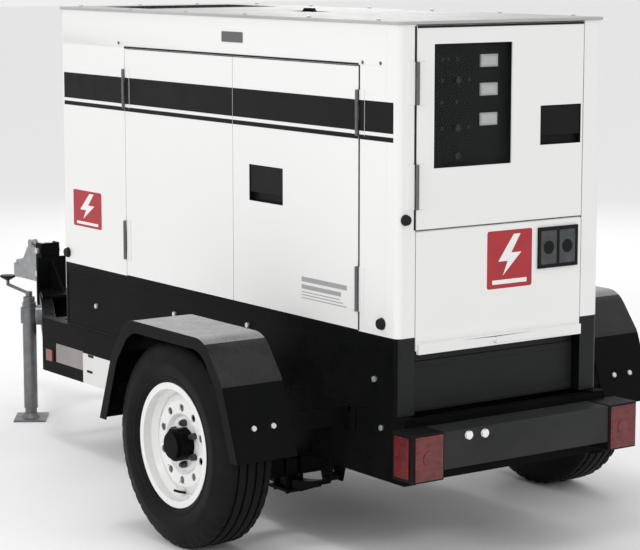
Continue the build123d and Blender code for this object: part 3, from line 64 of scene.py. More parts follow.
# ---------------------------------------------------------------- materials
def finish_of(name, colour, roughness, metallic=0.0, coat=0.0, tone=0.05, tone_scale=3.0,
              rough_spread=0.06, rough_scale=18.0, grain=0.0, grain_scale=300.0,
              dust=0.0, dust_colour=(0.30, 0.27, 0.23), dust_top=None, alpha=1.0, specular=0.5):
    """Procedural finish: cloudy tone, uneven gloss, fine grain and dust that thins out upward."""
    material = bpy.data.materials.new(name)
    material.use_nodes = True
    tree = material.node_tree
    nodes, links = tree.nodes, tree.links
    shader = nodes["Principled BSDF"]
    shader.inputs["Metallic"].default_value = metallic
    shader.inputs["Coat Weight"].default_value = coat
    shader.inputs["Coat Roughness"].default_value = 0.12
    shader.inputs["Specular IOR Level"].default_value = specular
    shader.inputs["Alpha"].default_value = alpha
    place = nodes.new("ShaderNodeTexCoord")

    clouds = nodes.new("ShaderNodeTexNoise")
    clouds.inputs["Scale"].default_value = tone_scale
    clouds.inputs["Detail"].default_value = 6.0
    links.new(place.outputs["Object"], clouds.inputs["Vector"])
    shades = nodes.new("ShaderNodeValToRGB")
    dark = tuple(c * (1 - tone) for c in colour)
    light = tuple(min(1.0, c * (1 + tone)) for c in colour)
    shades.color_ramp.elements[0].position = 0.3
    shades.color_ramp.elements[0].color = (*dark, 1)
    shades.color_ramp.elements[1].position = 0.7
    shades.color_ramp.elements[1].color = (*light, 1)
    links.new(clouds.outputs["Fac"], shades.inputs["Fac"])
    colour_out = shades.outputs["Color"]

    if dust > 0:
        specks = nodes.new("ShaderNodeTexNoise")
        specks.inputs["Scale"].default_value = 9.0
        specks.inputs["Detail"].default_value = 9.0
        specks.inputs["Roughness"].default_value = 0.7
        links.new(place.outputs["Object"], specks.inputs["Vector"])
        cover = nodes.new("ShaderNodeMapRange")
        cover.inputs["From Min"].default_value = 0.42
        cover.inputs["From Max"].default_value = 0.75
        cover.inputs["To Min"].default_value = 0.0
        cover.inputs["To Max"].default_value = dust
        links.new(specks.outputs["Fac"], cover.inputs["Value"])
        amount = cover.outputs["Result"]
        if dust_top is not None:
            split = nodes.new("ShaderNodeSeparateXYZ")
            links.new(place.outputs["Object"], split.inputs["Vector"])
            height = nodes.new("ShaderNodeMapRange")
            height.inputs["From Min"].default_value = dust_top
            height.inputs["From Max"].default_value = 0.0
            height.inputs["To Min"].default_value = 0.15
            height.inputs["To Max"].default_value = 1.0
            links.new(split.outputs["Z"], height.inputs["Value"])
            thinned = nodes.new("ShaderNodeMath")
            thinned.operation = "MULTIPLY"
            links.new(amount, thinned.inputs[0])
            links.new(height.outputs["Result"], thinned.inputs[1])
            amount = thinned.outputs["Value"]
        blend = nodes.new("ShaderNodeMix")
        blend.data_type = "RGBA"
        links.new(amount, blend.inputs["Factor"])
        links.new(colour_out, blend.inputs["A"])
        blend.inputs["B"].default_value = (*dust_colour, 1)
        colour_out = blend.outputs["Result"]
    links.new(colour_out, shader.inputs["Base Color"])

    gloss = nodes.new("ShaderNodeTexNoise")
    gloss.inputs["Scale"].default_value = rough_scale
    gloss.inputs["Detail"].default_value = 5.0
    links.new(place.outputs["Object"], gloss.inputs["Vector"])
    gloss_range = nodes.new("ShaderNodeMapRange")
    gloss_range.inputs["From Min"].default_value = 0.3
    gloss_range.inputs["From Max"].default_value = 0.7
    gloss_range.inputs["To Min"].default_value = max(0.02, roughness - rough_spread)
    gloss_range.inputs["To Max"].default_value = min(1.0, roughness + rough_spread)
    links.new(gloss.outputs["Fac"], gloss_range.inputs["Value"])
    links.new(gloss_range.outputs["Result"], shader.inputs["Roughness"])

    if grain > 0:
        fine = nodes.new("ShaderNodeTexNoise")
        fine.inputs["Scale"].default_value = grain_scale
        fine.inputs["Detail"].default_value = 3.0
        links.new(place.outputs["Object"], fine.inputs["Vector"])
        bump = nodes.new("ShaderNodeBump")
        bump.inputs["Strength"].default_value = grain
        bump.inputs["Distance"].default_value = 0.001
        links.new(fine.outputs["Fac"], bump.inputs["Height"])
        links.new(bump.outputs["Normal"], shader.inputs["Normal"])
    return material


MAT = {
    "white_paint": finish_of("enclosure_white", (0.83, 0.83, 0.82), 0.30, coat=0.2, tone=0.012,
                             tone_scale=1.3, rough_spread=0.02, rough_scale=4.0, dust=0.008, dust_top=1.5),
    "black_paint": finish_of("chassis_black", (0.0045, 0.0048, 0.0048), 0.30, tone=0.25, dust=0.01,
                             dust_top=0.75, specular=0.03),
    "fender_paint": finish_of("fender_black", (0.0030, 0.0033, 0.0033), 0.24, coat=0.03, tone=0.2,
                              dust=0.008, dust_top=0.8, specular=0.04),
    # Painted highlight: lighter copies of the black fender paint for its upward faces, the top lightest,
    # stand in for the reflection of a bright sky; the specks on them are dust.
    "fender_top_painted_highlight": finish_of("fender_top_painted_highlight", (0.17, 0.173, 0.175), 0.30, coat=0.3, tone=0.22,
                            tone_scale=2.5, dust=0.08, specular=0.6),
    "fender_slope_painted_highlight": finish_of("fender_slope_painted_highlight", (0.010, 0.0105, 0.011), 0.28, coat=0.1, tone=0.25,
                              tone_scale=6, dust=0.03, specular=0.25),
    # Painted light: a lighter copy of the chassis black for the rear-facing bumper, where light falls on
    # it.
    "bumper_painted_light": finish_of("bumper_painted_light", (0.026, 0.028, 0.0275), 0.45, tone=0.15, dust=0.03,
                             specular=0.12),
    "jack_steel": finish_of("jack_steel", (0.17, 0.175, 0.18), 0.42, metallic=0.65, tone=0.18,
                            tone_scale=24, rough_spread=0.12, grain=0.15, grain_scale=500),
    # Painted light: a lighter copy of the chassis black for the tank's rear-facing faces, with some dust.
    "charcoal_panel": finish_of("charcoal_panel", (0.014, 0.0155, 0.015), 0.42, tone=0.15, dust=0.015,
                                dust_top=0.8, specular=0.15),
    "wheel_white": finish_of("wheel_white", (0.80, 0.80, 0.79), 0.25, coat=0.5, tone=0.03,
                             dust=0.10, dust_top=0.7),
    "zinc_steel": finish_of("zinc_steel", (0.34, 0.35, 0.355), 0.46, metallic=0.75, tone=0.16,
                            tone_scale=28, rough_spread=0.12, grain=0.12, grain_scale=600),
    "dark_steel": finish_of("dark_steel", (0.05, 0.052, 0.055), 0.45, metallic=0.5, tone=0.2, tone_scale=60,
                            grain=0.15),
    "bright_bolt": finish_of("bright_bolt", (0.62, 0.63, 0.64), 0.36, metallic=0.7, tone=0.10,
                             tone_scale=90, grain=0.05),
    "hinge_grey": finish_of("hinge_grey", (0.13, 0.135, 0.135), 0.45, metallic=0.3, tone=0.12,
                            specular=0.3),
    "bare_cast": finish_of("cast_grey", (0.085, 0.095, 0.10), 0.62, metallic=0.2, tone=0.22, tone_scale=20,
                           grain=0.5, grain_scale=380, dust=0.12),
    "alu_core": finish_of("radiator_alu", (0.20, 0.21, 0.215), 0.5, metallic=0.6, tone=0.15, grain=0.3,
                          grain_scale=500),
    "tyre_rubber": finish_of("tyre_rubber", (0.0045, 0.0048, 0.0050), 0.58, tone=0.2, tone_scale=14,
                             grain=0.30, grain_scale=520, dust=0.02, dust_top=0.8, specular=0.10),
    "soft_rubber": finish_of("soft_rubber", (0.008, 0.008, 0.0085), 0.6, tone=0.15, grain=0.2,
                             specular=0.2),
    "black_plastic": finish_of("black_plastic", (0.0070, 0.0070, 0.0075), 0.42, tone=0.12, grain=0.25,
                               grain_scale=900, specular=0.12),
    "lens_red": finish_of("lens_red", (0.13, 0.012, 0.013), 0.24, coat=0.4, tone=0.35, tone_scale=45,
                          grain=0.5, grain_scale=330, specular=0.35),
    "lens_clear": finish_of("lens_clear", (0.86, 0.86, 0.84), 0.12, coat=0.8, tone=0.05, tone_scale=60,
                            grain=0.3, grain_scale=400),
    "lens_amber": finish_of("lens_amber", (0.24, 0.055, 0.04), 0.25, coat=0.3, tone=0.2, tone_scale=60,
                            grain=0.4, grain_scale=400),
    "tinted_window": finish_of("tinted_window", (0.006, 0.008, 0.0075), 0.10, coat=0.05, tone=0.1,
                               rough_spread=0.02, alpha=0.17, specular=0.15),
    "meter_grey": finish_of("meter_grey", (0.72, 0.74, 0.73), 0.38, tone=0.05, tone_scale=60, grain=0.1),
    "plate_grey": finish_of("plate_grey", (0.30, 0.27, 0.27), 0.42, metallic=0.3, tone=0.12, tone_scale=9,
                            grain=0.1),
    "plate_white": finish_of("plate_white", (0.74, 0.74, 0.73), 0.4, tone=0.05, tone_scale=9, grain=0.08,
                             dust=0.15),
    # Painted shade: the white roof top is made grey where less light falls on it, with dust blotches over
    # it.
    "roof_shade_and_dust": finish_of("roof_painted_shade_and_dust", (0.42, 0.42, 0.415), 0.55, tone=0.12, tone_scale=2.0,
                            dust=0.25, specular=0.2),
    "stripe_black": finish_of("stripe_black", (0.0075, 0.0076, 0.0080), 0.42, tone=0.12, specular=0.10),
    "decal_red": finish_of("decal_red", (0.40, 0.030, 0.040), 0.40, tone=0.06, tone_scale=12,
                           specular=0.3),
    "decal_white": finish_of("decal_white", (0.84, 0.83, 0.82), 0.38, tone=0.03),
    "decal_grey": finish_of("decal_grey", (0.36, 0.36, 0.36), 0.42, tone=0.08),
    "foam": finish_of("acoustic_foam", (0.022, 0.023, 0.024), 0.95, tone=0.3, tone_scale=40, grain=1.0,
                      grain_scale=110),
    "lamp_dim": finish_of("panel_lamp_dim", (0.055, 0.056, 0.055), 0.4, tone=0.1, tone_scale=60,
                          specular=0.2),
    "screen": finish_of("meter_screen", (0.92, 0.95, 0.93), 0.22, tone=0.06, tone_scale=80, grain=0.03),
    "pane_grey": finish_of("socket_pane", (0.060, 0.067, 0.067), 0.20, coat=0.1, tone=0.25, tone_scale=30,
                           specular=0.2),
    "dark_slot": finish_of("slot_shadow", (0.006, 0.006, 0.006), 0.8, tone=0.2, grain=0.1),
}


# ---------------------------------------------------------------- carried-over CAD nodes
def soften(node, width):
    """Small rounded edges and clean shading from modifiers; no vertex of the mesh moves."""
    obj = NODES[node]
    mesh = obj.data
    if "custom_normal" in mesh.attributes:
        mesh.attributes.remove(mesh.attributes["custom_normal"])
    mesh.polygons.foreach_set("use_smooth", [True] * len(mesh.polygons))
    weld = obj.modifiers.new("weld", "WELD")
    weld.merge_threshold = 0.00002
    bevel = obj.modifiers.new("edges", "BEVEL")
    bevel.width = width
    bevel.segments = 2
    bevel.limit_method = "ANGLE"
    bevel.angle_limit = math.radians(34)
    bevel.harden_normals = True
    bevel.use_clamp_overlap = False


def paint(node, material):
    """One material over a whole CAD node."""
    mesh = NODES[node].data
    mesh.materials.clear()
    mesh.materials.append(MAT[material])
    mesh.polygons.foreach_set("material_index", [0] * len(mesh.polygons))


def paint_where(node, material, test):
    """A second material on the faces whose centre and normal pass the test."""
    mesh = NODES[node].data
    mesh.materials.append(MAT[material])
    index = len(mesh.materials) - 1
    for polygon in mesh.polygons:
        if test(polygon.center, polygon.normal):
            polygon.material_index = index


# Nodes that look different from their material slot; on the bumper and the roof the difference is painted
# light and shade
BEST_MATERIAL = {"fenders": "fender_paint", "roof_panel": "roof_shade_and_dust", "hex_bolts": "bright_bolt",
                 "socket_windows": "black_plastic", "data_plates": "plate_grey", "bumper": "bumper_painted_light",
                 "jack_tube": "jack_steel", "jack_leg": "jack_steel", "jack_crank": "jack_steel",
                 "jack_mount": "jack_steel"}
# Width of the rounded edges, where it isn't the usual one
EDGE_W = 0.0010
EDGE = {"roof_panel": 0.0012, "control_window": 0.0005, "panel_meters": 0.0006,
        "hex_bolts": 0.0008, "left_rim": 0.0012, "right_rim": 0.0012, "engine_block": 0.004,
        "engine_head": 0.004, "battery": 0.004, "coupler_body": 0.002, "frame_rails": 0.0025,
        "tongue_frame": 0.002, "fuel_tank": 0.0015, "frame_crossmembers": 0.002, "side_wall_left": 0.0004,
        "side_wall_right": 0.0004}
slot_of = {part["node"]: part["material_slot"] for part in frame["record"]["subparts"]}
for node, slot_name in slot_of.items():
    paint(node, BEST_MATERIAL.get(node, slot_name))
    soften(node, EDGE.get(node, EDGE_W))

# Painted highlight: fender faces that tilt up take the lighter copies of the black paint, by how far their
# normal points up.
HIGHLIGHT_SLOPE_NORMAL, HIGHLIGHT_TOP_NORMAL = 0.45, 0.86
paint_where("fenders", "fender_slope_painted_highlight", lambda c, n: n.z > HIGHLIGHT_SLOPE_NORMAL)
paint_where("fenders", "fender_top_painted_highlight", lambda c, n: n.z > HIGHLIGHT_TOP_NORMAL)
RECESS = 0.06              # deeper than the recess in the tank's rear face
# Painted light on the tank's rear-facing faces.
paint_where("fuel_tank", "charcoal_panel", lambda c, n: c.x > REAR_X - RECESS and n.x > 0.8)
HINGE_PIN = {joint["name"]: Vector(joint["pos_m"]) for joint in frame["record"]["behaviour"]["joints"]
             if joint["name"].endswith("_swing")}
KNUCKLE = 0.0085           # reach of a knuckle from its pin line
PROUD = 0.0004             # faces this far out belong to the hinge, not the panel
for side in SIDES:
    for end in ("front", "rear"):
        pin = HINGE_PIN[f"door_{side}_{end}_swing"]
        for node in (f"side_wall_{side}", f"door_{side}_{end}"):
            paint_where(node, "hinge_grey",
                        lambda c, n: abs(c.y) > SIDE_Y + PROUD and abs(c.x - pin.x) < KNUCKLE)
pin = HINGE_PIN["control_door_swing"]
for node in ("rear_frame", "control_door"):
    paint_where(node, "hinge_grey", lambda c, n: c.x > REAR_X + PROUD and abs(c.y - pin.y) < KNUCKLE)


def pan_faces(node, latch, depth_axis):
    """Black on the latch pan of a door: the faces around and behind its paddle."""
    low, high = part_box(latch)
    grow = 0.034
    above = 0.006
    others = [axis for axis in (0, 1, 2) if axis != depth_axis]
    face = SIDE_Y if depth_axis == 1 else REAR_X

    def inside(c, n):
        """Faces near the paddle that lie below the panel's face."""
        near = all(low[a] - grow < c[a] < high[a] + above for a in others)
        sunk = abs(c[depth_axis]) < face - 0.0005
        return near and sunk

    paint_where(node, "black_plastic", inside)


pan_faces("door_left_rear", "latch_left", 1)
pan_faces("door_right_rear", "latch_right", 1)
pan_faces("control_door", "control_latch", 0)

crank_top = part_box("jack_crank")[1].z
KNOB_H = 0.022
paint_where("jack_crank", "black_plastic", lambda c, n: c.z > crank_top - KNOB_H)
NUT_RING = (0.056, 0.086)  # inner and outer radius of the ring of nuts
NUT_DEPTH = 0.062          # from the hub's outer end to the back of the nuts
for side in SIDES:
    hub_low, hub_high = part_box(f"{side}_hub")
    hub_mid = (hub_low + hub_high) / 2
    outer = max(abs(hub_low.y), abs(hub_high.y))

    def on_nut(c, n, mid=hub_mid, limit=outer - NUT_DEPTH):
        """Faces of the nuts around the hub's middle."""
        reach = math.hypot(c.x - mid.x, c.z - mid.z)
        return NUT_RING[0] < reach < NUT_RING[1] and abs(c.y) > limit

    paint_where(f"{side}_hub", "dark_steel", on_nut)
plates_low, plates_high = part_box("data_plates")
plate_split = (plates_low.x + plates_high.x) / 2
paint_where("data_plates", "plate_white", lambda c, n: c.x > plate_split)


# ---------------------------------------------------------------- building pieces
def piece(name, verts, faces, material, body, smooth=False, edge=0.0):
    """A mesh piece in the row frame, riding a body."""
    mesh = bpy.data.meshes.new(name)
    mesh.from_pydata(verts, [], faces)
    shape = bmesh.new()
    shape.from_mesh(mesh)
    bmesh.ops.recalc_face_normals(shape, faces=shape.faces)
    shape.to_mesh(mesh)
    shape.free()
    mesh.materials.append(MAT[material])
    mesh.polygons.foreach_set("use_smooth", [smooth] * len(mesh.polygons))
    obj = bpy.data.objects.new(name, mesh)
    bpy.context.scene.collection.objects.link(obj)
    if edge > 0:
        bevel = obj.modifiers.new("edges", "BEVEL")
        bevel.width = edge
        bevel.segments = 2
        bevel.limit_method = "ANGLE"
    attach(obj, body)
    return obj


def on_side(sign, lift):
    """Maps (x, z) and a height above the side panel to a point."""
    return lambda u, v, h: (u, sign * (SIDE_Y + lift + h), v)


def on_rear(lift):
    """Maps (y, z) and a height above the rear face to a point."""
    return lambda u, v, h: (REAR_X + lift + h, u, v)


def film(name, outline, place, thickness, material, body):
    """Thin closed sheet with the given outline."""
    count = len(outline)
    verts = [place(u, v, 0) for u, v in outline] + [place(u, v, thickness) for u, v in outline]
    faces = [tuple(range(count))[::-1], tuple(range(count, 2 * count))]
    faces += [(i, (i + 1) % count, (i + 1) % count + count, i + count) for i in range(count)]
    return piece(name, verts, faces, material, body)


def rect(u0, u1, v0, v1, radius=0.0, steps=4):
    """Rectangle outline with rounded corners."""
    if radius <= 0:
        return [(u0, v0), (u1, v0), (u1, v1), (u0, v1)]
    corners = [(u1 - radius, v0 + radius, -90), (u1 - radius, v1 - radius, 0),
               (u0 + radius, v1 - radius, 90), (u0 + radius, v0 + radius, 180)]
    points = []
    for cu, cv, start in corners:
        for i in range(steps + 1):
            angle = math.radians(start + 90 * i / steps)
            points.append((cu + radius * math.cos(angle), cv + radius * math.sin(angle)))
    return points


def disc(u, v, radius, steps=20):
    """Circle outline."""
    turn = 2 * math.pi / steps
    return [(u + radius * math.cos(i * turn), v + radius * math.sin(i * turn)) for i in range(steps)]


def lathe(name, profile, centre, steps, material, body, dent=None):
    """Closed profile of (radius, y) turned about a line along Y; dent moves single points inward."""
    verts = []
    count = len(profile)
    for i in range(steps):
        angle = 2 * math.pi * i / steps
        for k, (radius, y) in enumerate(profile):
            r = radius - (dent(i, k) if dent else 0.0)
            verts.append((centre.x + r * math.cos(angle), y, centre.z + r * math.sin(angle)))
    faces = []
    for i in range(steps):
        j = (i + 1) % steps
        for k in range(count):
            m = (k + 1) % count
            faces.append((i * count + k, i * count + m, j * count + m, j * count + k))
    return piece(name, verts, faces, material, body, smooth=True)


# ---------------------------------------------------------------- stripes and decals
STRIPE = (FLOOR_Z + 0.643, FLOOR_Z + 0.740)
PINSTRIPE = (FLOOR_Z + 0.616, FLOOR_Z + 0.631)
STRIPE_FROM = FRONT_X + 0.027
STRIPE_TO = REAR_X - 0.024
EDGE_MARGIN = 0.0003
LEAF_FROM, LEAF_TO, LEAF_T = 0.0075, 0.0345, 0.003     # hinge leaf, measured from its pin line
HINGE_Z0 = FLOOR_Z + 0.6265
SEAL_W = 0.006
SEAL_T = 0.0012            # rubber that stands out from the panel
THIN_SEAL_T = 0.0008
LEAF_EDGE = 0.0016         # from a pin line to the edge of the door leaf
GAP = 0.0031               # from the edge of the door leaf to the wall, over the gap


def stripes(label, x0, x1, place, body, floor=0.0):
    """The wide and the narrow stripe between two stations, cut off below the floor height."""
    film(f"stripe_{label}", rect(x0, x1, *STRIPE), place, FILM, "stripe_black", body)
    low = max(PINSTRIPE[0], floor)
    film(f"pinstripe_{label}", rect(x0, x1, low, PINSTRIPE[1]), place, FILM, "stripe_black", body)


for side, sign in SIDES.items():
    front_low, front_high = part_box(f"door_{side}_front")
    back_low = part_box(f"door_{side}_rear")[0]
    pin_front = HINGE_PIN[f"door_{side}_front_swing"].x
    pin_rear = HINGE_PIN[f"door_{side}_rear_swing"].x
    bodies = {"front": f"door_{side[0]}f", "rear": f"door_{side[0]}r"}
    face = on_side(sign, 0.0)
    leaf_face = on_side(sign, LEAF_T)
    edge_front, edge_rear = pin_front + LEAF_EDGE, pin_rear - LEAF_EDGE
    stripes(f"{side}_wall_front", STRIPE_FROM, edge_front - GAP, face, "body")
    stripes(f"{side}_leaf_front", edge_front, front_high.x - EDGE_MARGIN, face, bodies["front"])
    stripes(f"{side}_leaf_rear", back_low.x + EDGE_MARGIN, edge_rear, face, bodies["rear"])
    stripes(f"{side}_wall_rear", edge_rear + GAP, STRIPE_TO, face, "body")
    for end, pin_x, toward_door in (("front", pin_front, 1), ("rear", pin_rear, -1)):
        for half, way, body in (("fixed", -toward_door, "body"), ("moving", toward_door, bodies[end])):
            x0, x1 = sorted((pin_x + way * LEAF_FROM, pin_x + way * LEAF_TO))
            stripes(f"{side}_{end}_{half}", x0, x1, leaf_face, body, HINGE_Z0)
    top_z = front_high.z + 0.004
    film(f"seal_{side}_top", rect(pin_front, pin_rear, top_z, top_z + SEAL_W), face, SEAL_T,
         "soft_rubber", "body")
    seal_x = edge_rear + 0.0034
    film(f"seal_{side}_rear", rect(seal_x, seal_x + SEAL_W, front_low.z, top_z), face, THIN_SEAL_T,
         "soft_rubber", "body")

control_low, control_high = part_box("control_door")
control_pin = HINGE_PIN["control_door_swing"].y
top_seal = rect(control_pin + 0.003, control_high.y - 0.002, control_high.z - 0.0075,
                control_high.z - 0.0005)
side_seal = rect(control_pin - 0.0080, control_pin - 0.0010, control_low.z, control_high.z - 0.001)
film("seal_control_top", top_seal, on_rear(0.0), SEAL_T, "soft_rubber", "control_leaf")
film("seal_control_side", side_seal, on_rear(0.0), THIN_SEAL_T, "soft_rubber", "body")


def lifted(place, lift):
    """The same mapping, standing higher off the surface."""
    return lambda u, v, h: place(u, v, h + lift)


def mark(prefix, place, u0, u1, v0, v1, body):
    """Generic red badge: a rounded red field, a white frame line and a white bolt."""
    width, height = u1 - u0, v1 - v0
    frame_w = 0.006
    film(prefix + "_edge", rect(u0, u1, v0, v1, 0.010), place, FILM, "decal_white", body)
    field = rect(u0 + frame_w, u1 - frame_w, v0 + frame_w, v1 - frame_w, 0.008)
    film(prefix + "_field", field, lifted(place, FILM), FILM, "decal_red", body)
    top = lifted(place, 2 * FILM)
    bolt = [(0.58, 0.90), (0.26, 0.47), (0.46, 0.47), (0.36, 0.24), (0.74, 0.60), (0.53, 0.60),
            (0.72, 0.90)]
    film(prefix + "_bolt", [(u0 + a * width, v0 + b * height) for a, b in bolt], top, FILM,
         "decal_white", body)
    bar = rect(u0 + 0.14 * width, u1 - 0.14 * width, v0 + 0.10 * height, v0 + 0.17 * height)
    film(prefix + "_bar", bar, top, FILM, "decal_white", body)


left = on_side(-1, 0.0)
mark("side_badge", left, REAR_X - 2.076, REAR_X - 1.847, FLOOR_Z + 0.146, FLOOR_Z + 0.298, "body")
mark("rear_badge", on_rear(0.0), -0.067, 0.133, FLOOR_Z + 0.120, FLOOR_Z + 0.320, "terminal_leaf")

# Two bars and three thin lines stand in for a small label
LABEL_FROM, LABEL_TO = REAR_X - 0.522, REAR_X - 0.268
label_rows = {"label_bar_a": (LABEL_TO, 0.122, 0.138), "label_bar_b": (LABEL_TO - 0.032, 0.098, 0.112)}
for i in range(3):
    label_rows[f"label_line_{i}"] = (LABEL_TO - 0.02 * i, 0.066 + i * 0.010, 0.069 + i * 0.010)
for name, (end_x, low, high) in label_rows.items():
    film(name, rect(LABEL_FROM, end_x, FLOOR_Z + low, FLOOR_Z + high), left, FILM, "decal_grey",
         "door_lr")
film("fascia_plate", rect(REAR_X - 1.003, REAR_X - 0.871, FLOOR_Z + 0.895, FLOOR_Z + 0.931, 0.004), left,
     0.0012, "hinge_grey", "body")


# ---------------------------------------------------------------- small screws on the panels
def screw(name, place, u, v, radius, body):
    """Pan-head screw: a domed disc."""
    rings = [(1.0, 0.0), (1.0, 0.0012), (0.8, 0.0024), (0.4, 0.0030)]
    steps = 16
    verts = []
    for scale, h in rings:
        verts += [place(a, b, h) for a, b in disc(u, v, radius * scale, steps)]
    verts.append(place(u, v, 0.0032))
    faces = [tuple(range(steps))[::-1]]
    for k in range(len(rings) - 1):
        for i in range(steps):
            j = (i + 1) % steps
            faces.append((k * steps + i, k * steps + j, (k + 1) * steps + j, (k + 1) * steps + i))
    last = (len(rings) - 1) * steps
    faces += [(last + i, last + (i + 1) % steps, len(verts) - 1) for i in range(steps)]
    piece(name, verts, faces, "hinge_grey", body, smooth=True)


SCREW_R = 0.006
FASCIA_SCREWS = ((REAR_X - 1.708, FLOOR_Z + 0.866), (REAR_X - 0.185, FLOOR_Z + 0.858),
                 (REAR_X - 0.091, FLOOR_Z + 0.859))
for side, sign in SIDES.items():
    for k, (x, z) in enumerate(FASCIA_SCREWS):
        screw(f"screw_{side}_{k}", on_side(sign, 0.0), x, z, SCREW_R, "body")


# ---------------------------------------------------------------- acoustic foam in the doors
FOAM_INSET = 0.012         # bare rim around the foam
FOAM_T = 0.014
FOAM_WAVE = 0.0028
FOAM_CELL = 0.016
GLUE = 0.0004              # between the foam and the door skin


def foam(name, x0, x1, z0, z1, sign, body):
    """Foam slab of small egg-crate waves that lines the inside of a side door."""
    u0, u1 = x0 + FOAM_INSET, x1 - FOAM_INSET
    v0, v1 = z0 + FOAM_INSET, z1 - FOAM_INSET
    back = sign * (SIDE_Y - SKIN - GLUE)
    columns = max(4, int((u1 - u0) / FOAM_CELL))
    rows = max(4, int((v1 - v0) / FOAM_CELL))
    verts, faces = [], []
    for j in range(rows + 1):
        for i in range(columns + 1):
            u = u0 + (u1 - u0) * i / columns
            v = v0 + (v1 - v0) * j / rows
            wave = FOAM_WAVE * math.sin(math.pi * i / 2) * math.sin(math.pi * j / 2)
            verts.append((u, back - sign * (FOAM_T + wave), v))
    first_back = len(verts)
    verts += [(u, back, v) for v in (v0, v1) for u in (u0, u1)]
    width = columns + 1
    for j in range(rows):
        for i in range(columns):
            a = j * width + i
            faces.append((a, a + 1, a + width + 1, a + width))
    bottom = list(range(0, width))
    top = list(range(rows * width, rows * width + width))
    left_edge = [j * width for j in range(rows + 1)]
    right_edge = [j * width + columns for j in range(rows + 1)]
    faces.append(tuple(bottom) + (first_back + 1, first_back))
    faces.append(tuple(top[::-1]) + (first_back + 2, first_back + 3))
    faces.append(tuple(left_edge[::-1]) + (first_back, first_back + 2))
    faces.append(tuple(right_edge) + (first_back + 3, first_back + 1))
    faces.append((first_back, first_back + 1, first_back + 3, first_back + 2))
    piece(name, verts, faces, "foam", body)


PAN_CLEAR = 0.042          # foam stays this far from the latch
HINGE_SIDE = 0.0060        # and this far from the hinged edge
for side, sign in SIDES.items():
    low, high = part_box(f"door_{side}_front")
    foam(f"foam_{side}_front", low.x + HINGE_SIDE, high.x, low.z, high.z, sign, f"door_{side[0]}f")
    low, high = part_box(f"door_{side}_rear")
    pan_low, pan_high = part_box(f"latch_{side}")
    under, over = pan_low.z - PAN_CLEAR, pan_high.z + PAN_CLEAR
    hinged = high.x - HINGE_SIDE
    leaf = f"door_{side[0]}r"
    foam(f"foam_{side}_rear_low", low.x, hinged, low.z, under, sign, leaf)
    foam(f"foam_{side}_rear_top", low.x, hinged, over, high.z, sign, leaf)
    foam(f"foam_{side}_rear_mid", pan_high.x + PAN_CLEAR, hinged, under, over, sign, leaf)


# ---------------------------------------------------------------- meters, sockets, plates
def facing_rear(x):
    """Maps (y, z) and a height to a point off a rear-facing surface at x."""
    return lambda u, v, h: (x + h, u, v)


meter_low, meter_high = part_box("panel_meters")
PANEL_X = meter_low.x
METER_DEPTH = 0.006
METER_MID = meter_high.y - 0.035
METER_HEIGHTS = (0.860, 0.769, 0.674)
SCREEN_HALF_W, SCREEN_HALF_H = 0.029, 0.014
paint_where("panel_meters", "lamp_dim", lambda c, n: c.y < METER_MID - 0.05)
for k, height in enumerate(METER_HEIGHTS):
    z = FLOOR_Z + height
    screen = rect(METER_MID - SCREEN_HALF_W, METER_MID + SCREEN_HALF_W,
                  z - SCREEN_HALF_H, z + SCREEN_HALF_H, 0.002)
    film(f"meter_screen_{k}", screen, facing_rear(PANEL_X + METER_DEPTH), 0.0006, "screen", "body")
PANEL_LAMPS = ((-0.228, 0.868), (-0.205, 0.868), (-0.169, 0.868), (-0.228, 0.802), (-0.12, 0.802),
               (-0.228, 0.733), (-0.169, 0.733), (-0.12, 0.651), (-0.228, 0.651))
LAMP_R, LAMP_H = 0.0055, 0.004
for k, (y, height) in enumerate(PANEL_LAMPS):
    film(f"panel_lamp_{k}", disc(y, FLOOR_Z + height, LAMP_R, 14), facing_rear(PANEL_X), LAMP_H,
         "lamp_dim", "body")

PANE_GAP = 0.005           # half the bar between the two socket windows
PANE_MARGIN_Y, PANE_MARGIN_Z = 0.010, 0.012
PANE_DEPTH, PANE_T = 0.004, 0.0015
SOCKET_R, SOCKET_H = 0.022, 0.0012
pane_mid = (socket_low.y + socket_high.y) / 2
pane_x = socket_high.x - PANE_DEPTH
pane_spans = ((socket_low.y + PANE_MARGIN_Y, pane_mid - PANE_GAP),
              (pane_mid + PANE_GAP, socket_high.y - PANE_MARGIN_Y))
for k, (y0, y1) in enumerate(pane_spans):
    pane = rect(y0, y1, socket_low.z + PANE_MARGIN_Z, socket_high.z - PANE_MARGIN_Z)
    film(f"socket_pane_{k}", pane, facing_rear(pane_x), PANE_T, "pane_grey", "terminal_leaf")
    socket = disc((y0 + y1) / 2, (socket_low.z + socket_high.z) / 2, SOCKET_R, 20)
    film(f"socket_dot_{k}", socket, facing_rear(pane_x + PANE_T), SOCKET_H, "black_plastic",
         "terminal_leaf")


def off_plate(u, v, h):
    """Maps (x, z) and a height to a point off the data plates."""
    return (u, plates_low.y - 0.0001 - h, v)


SLOT_HALF_W, SLOT_HALF_H = 0.022, 0.005
PLATE_SLOTS = ((REAR_X - 1.950, plates_high.z - 0.010), (REAR_X - 1.959, plates_high.z - 0.072))
for k, (x, z) in enumerate(PLATE_SLOTS):
    outline = rect(x - SLOT_HALF_W, x + SLOT_HALF_W, z - SLOT_HALF_H, z + SLOT_HALF_H, 0.004)
    film(f"plate_slot_{k}", outline, off_plate, 0.0006, "dark_slot", "body")

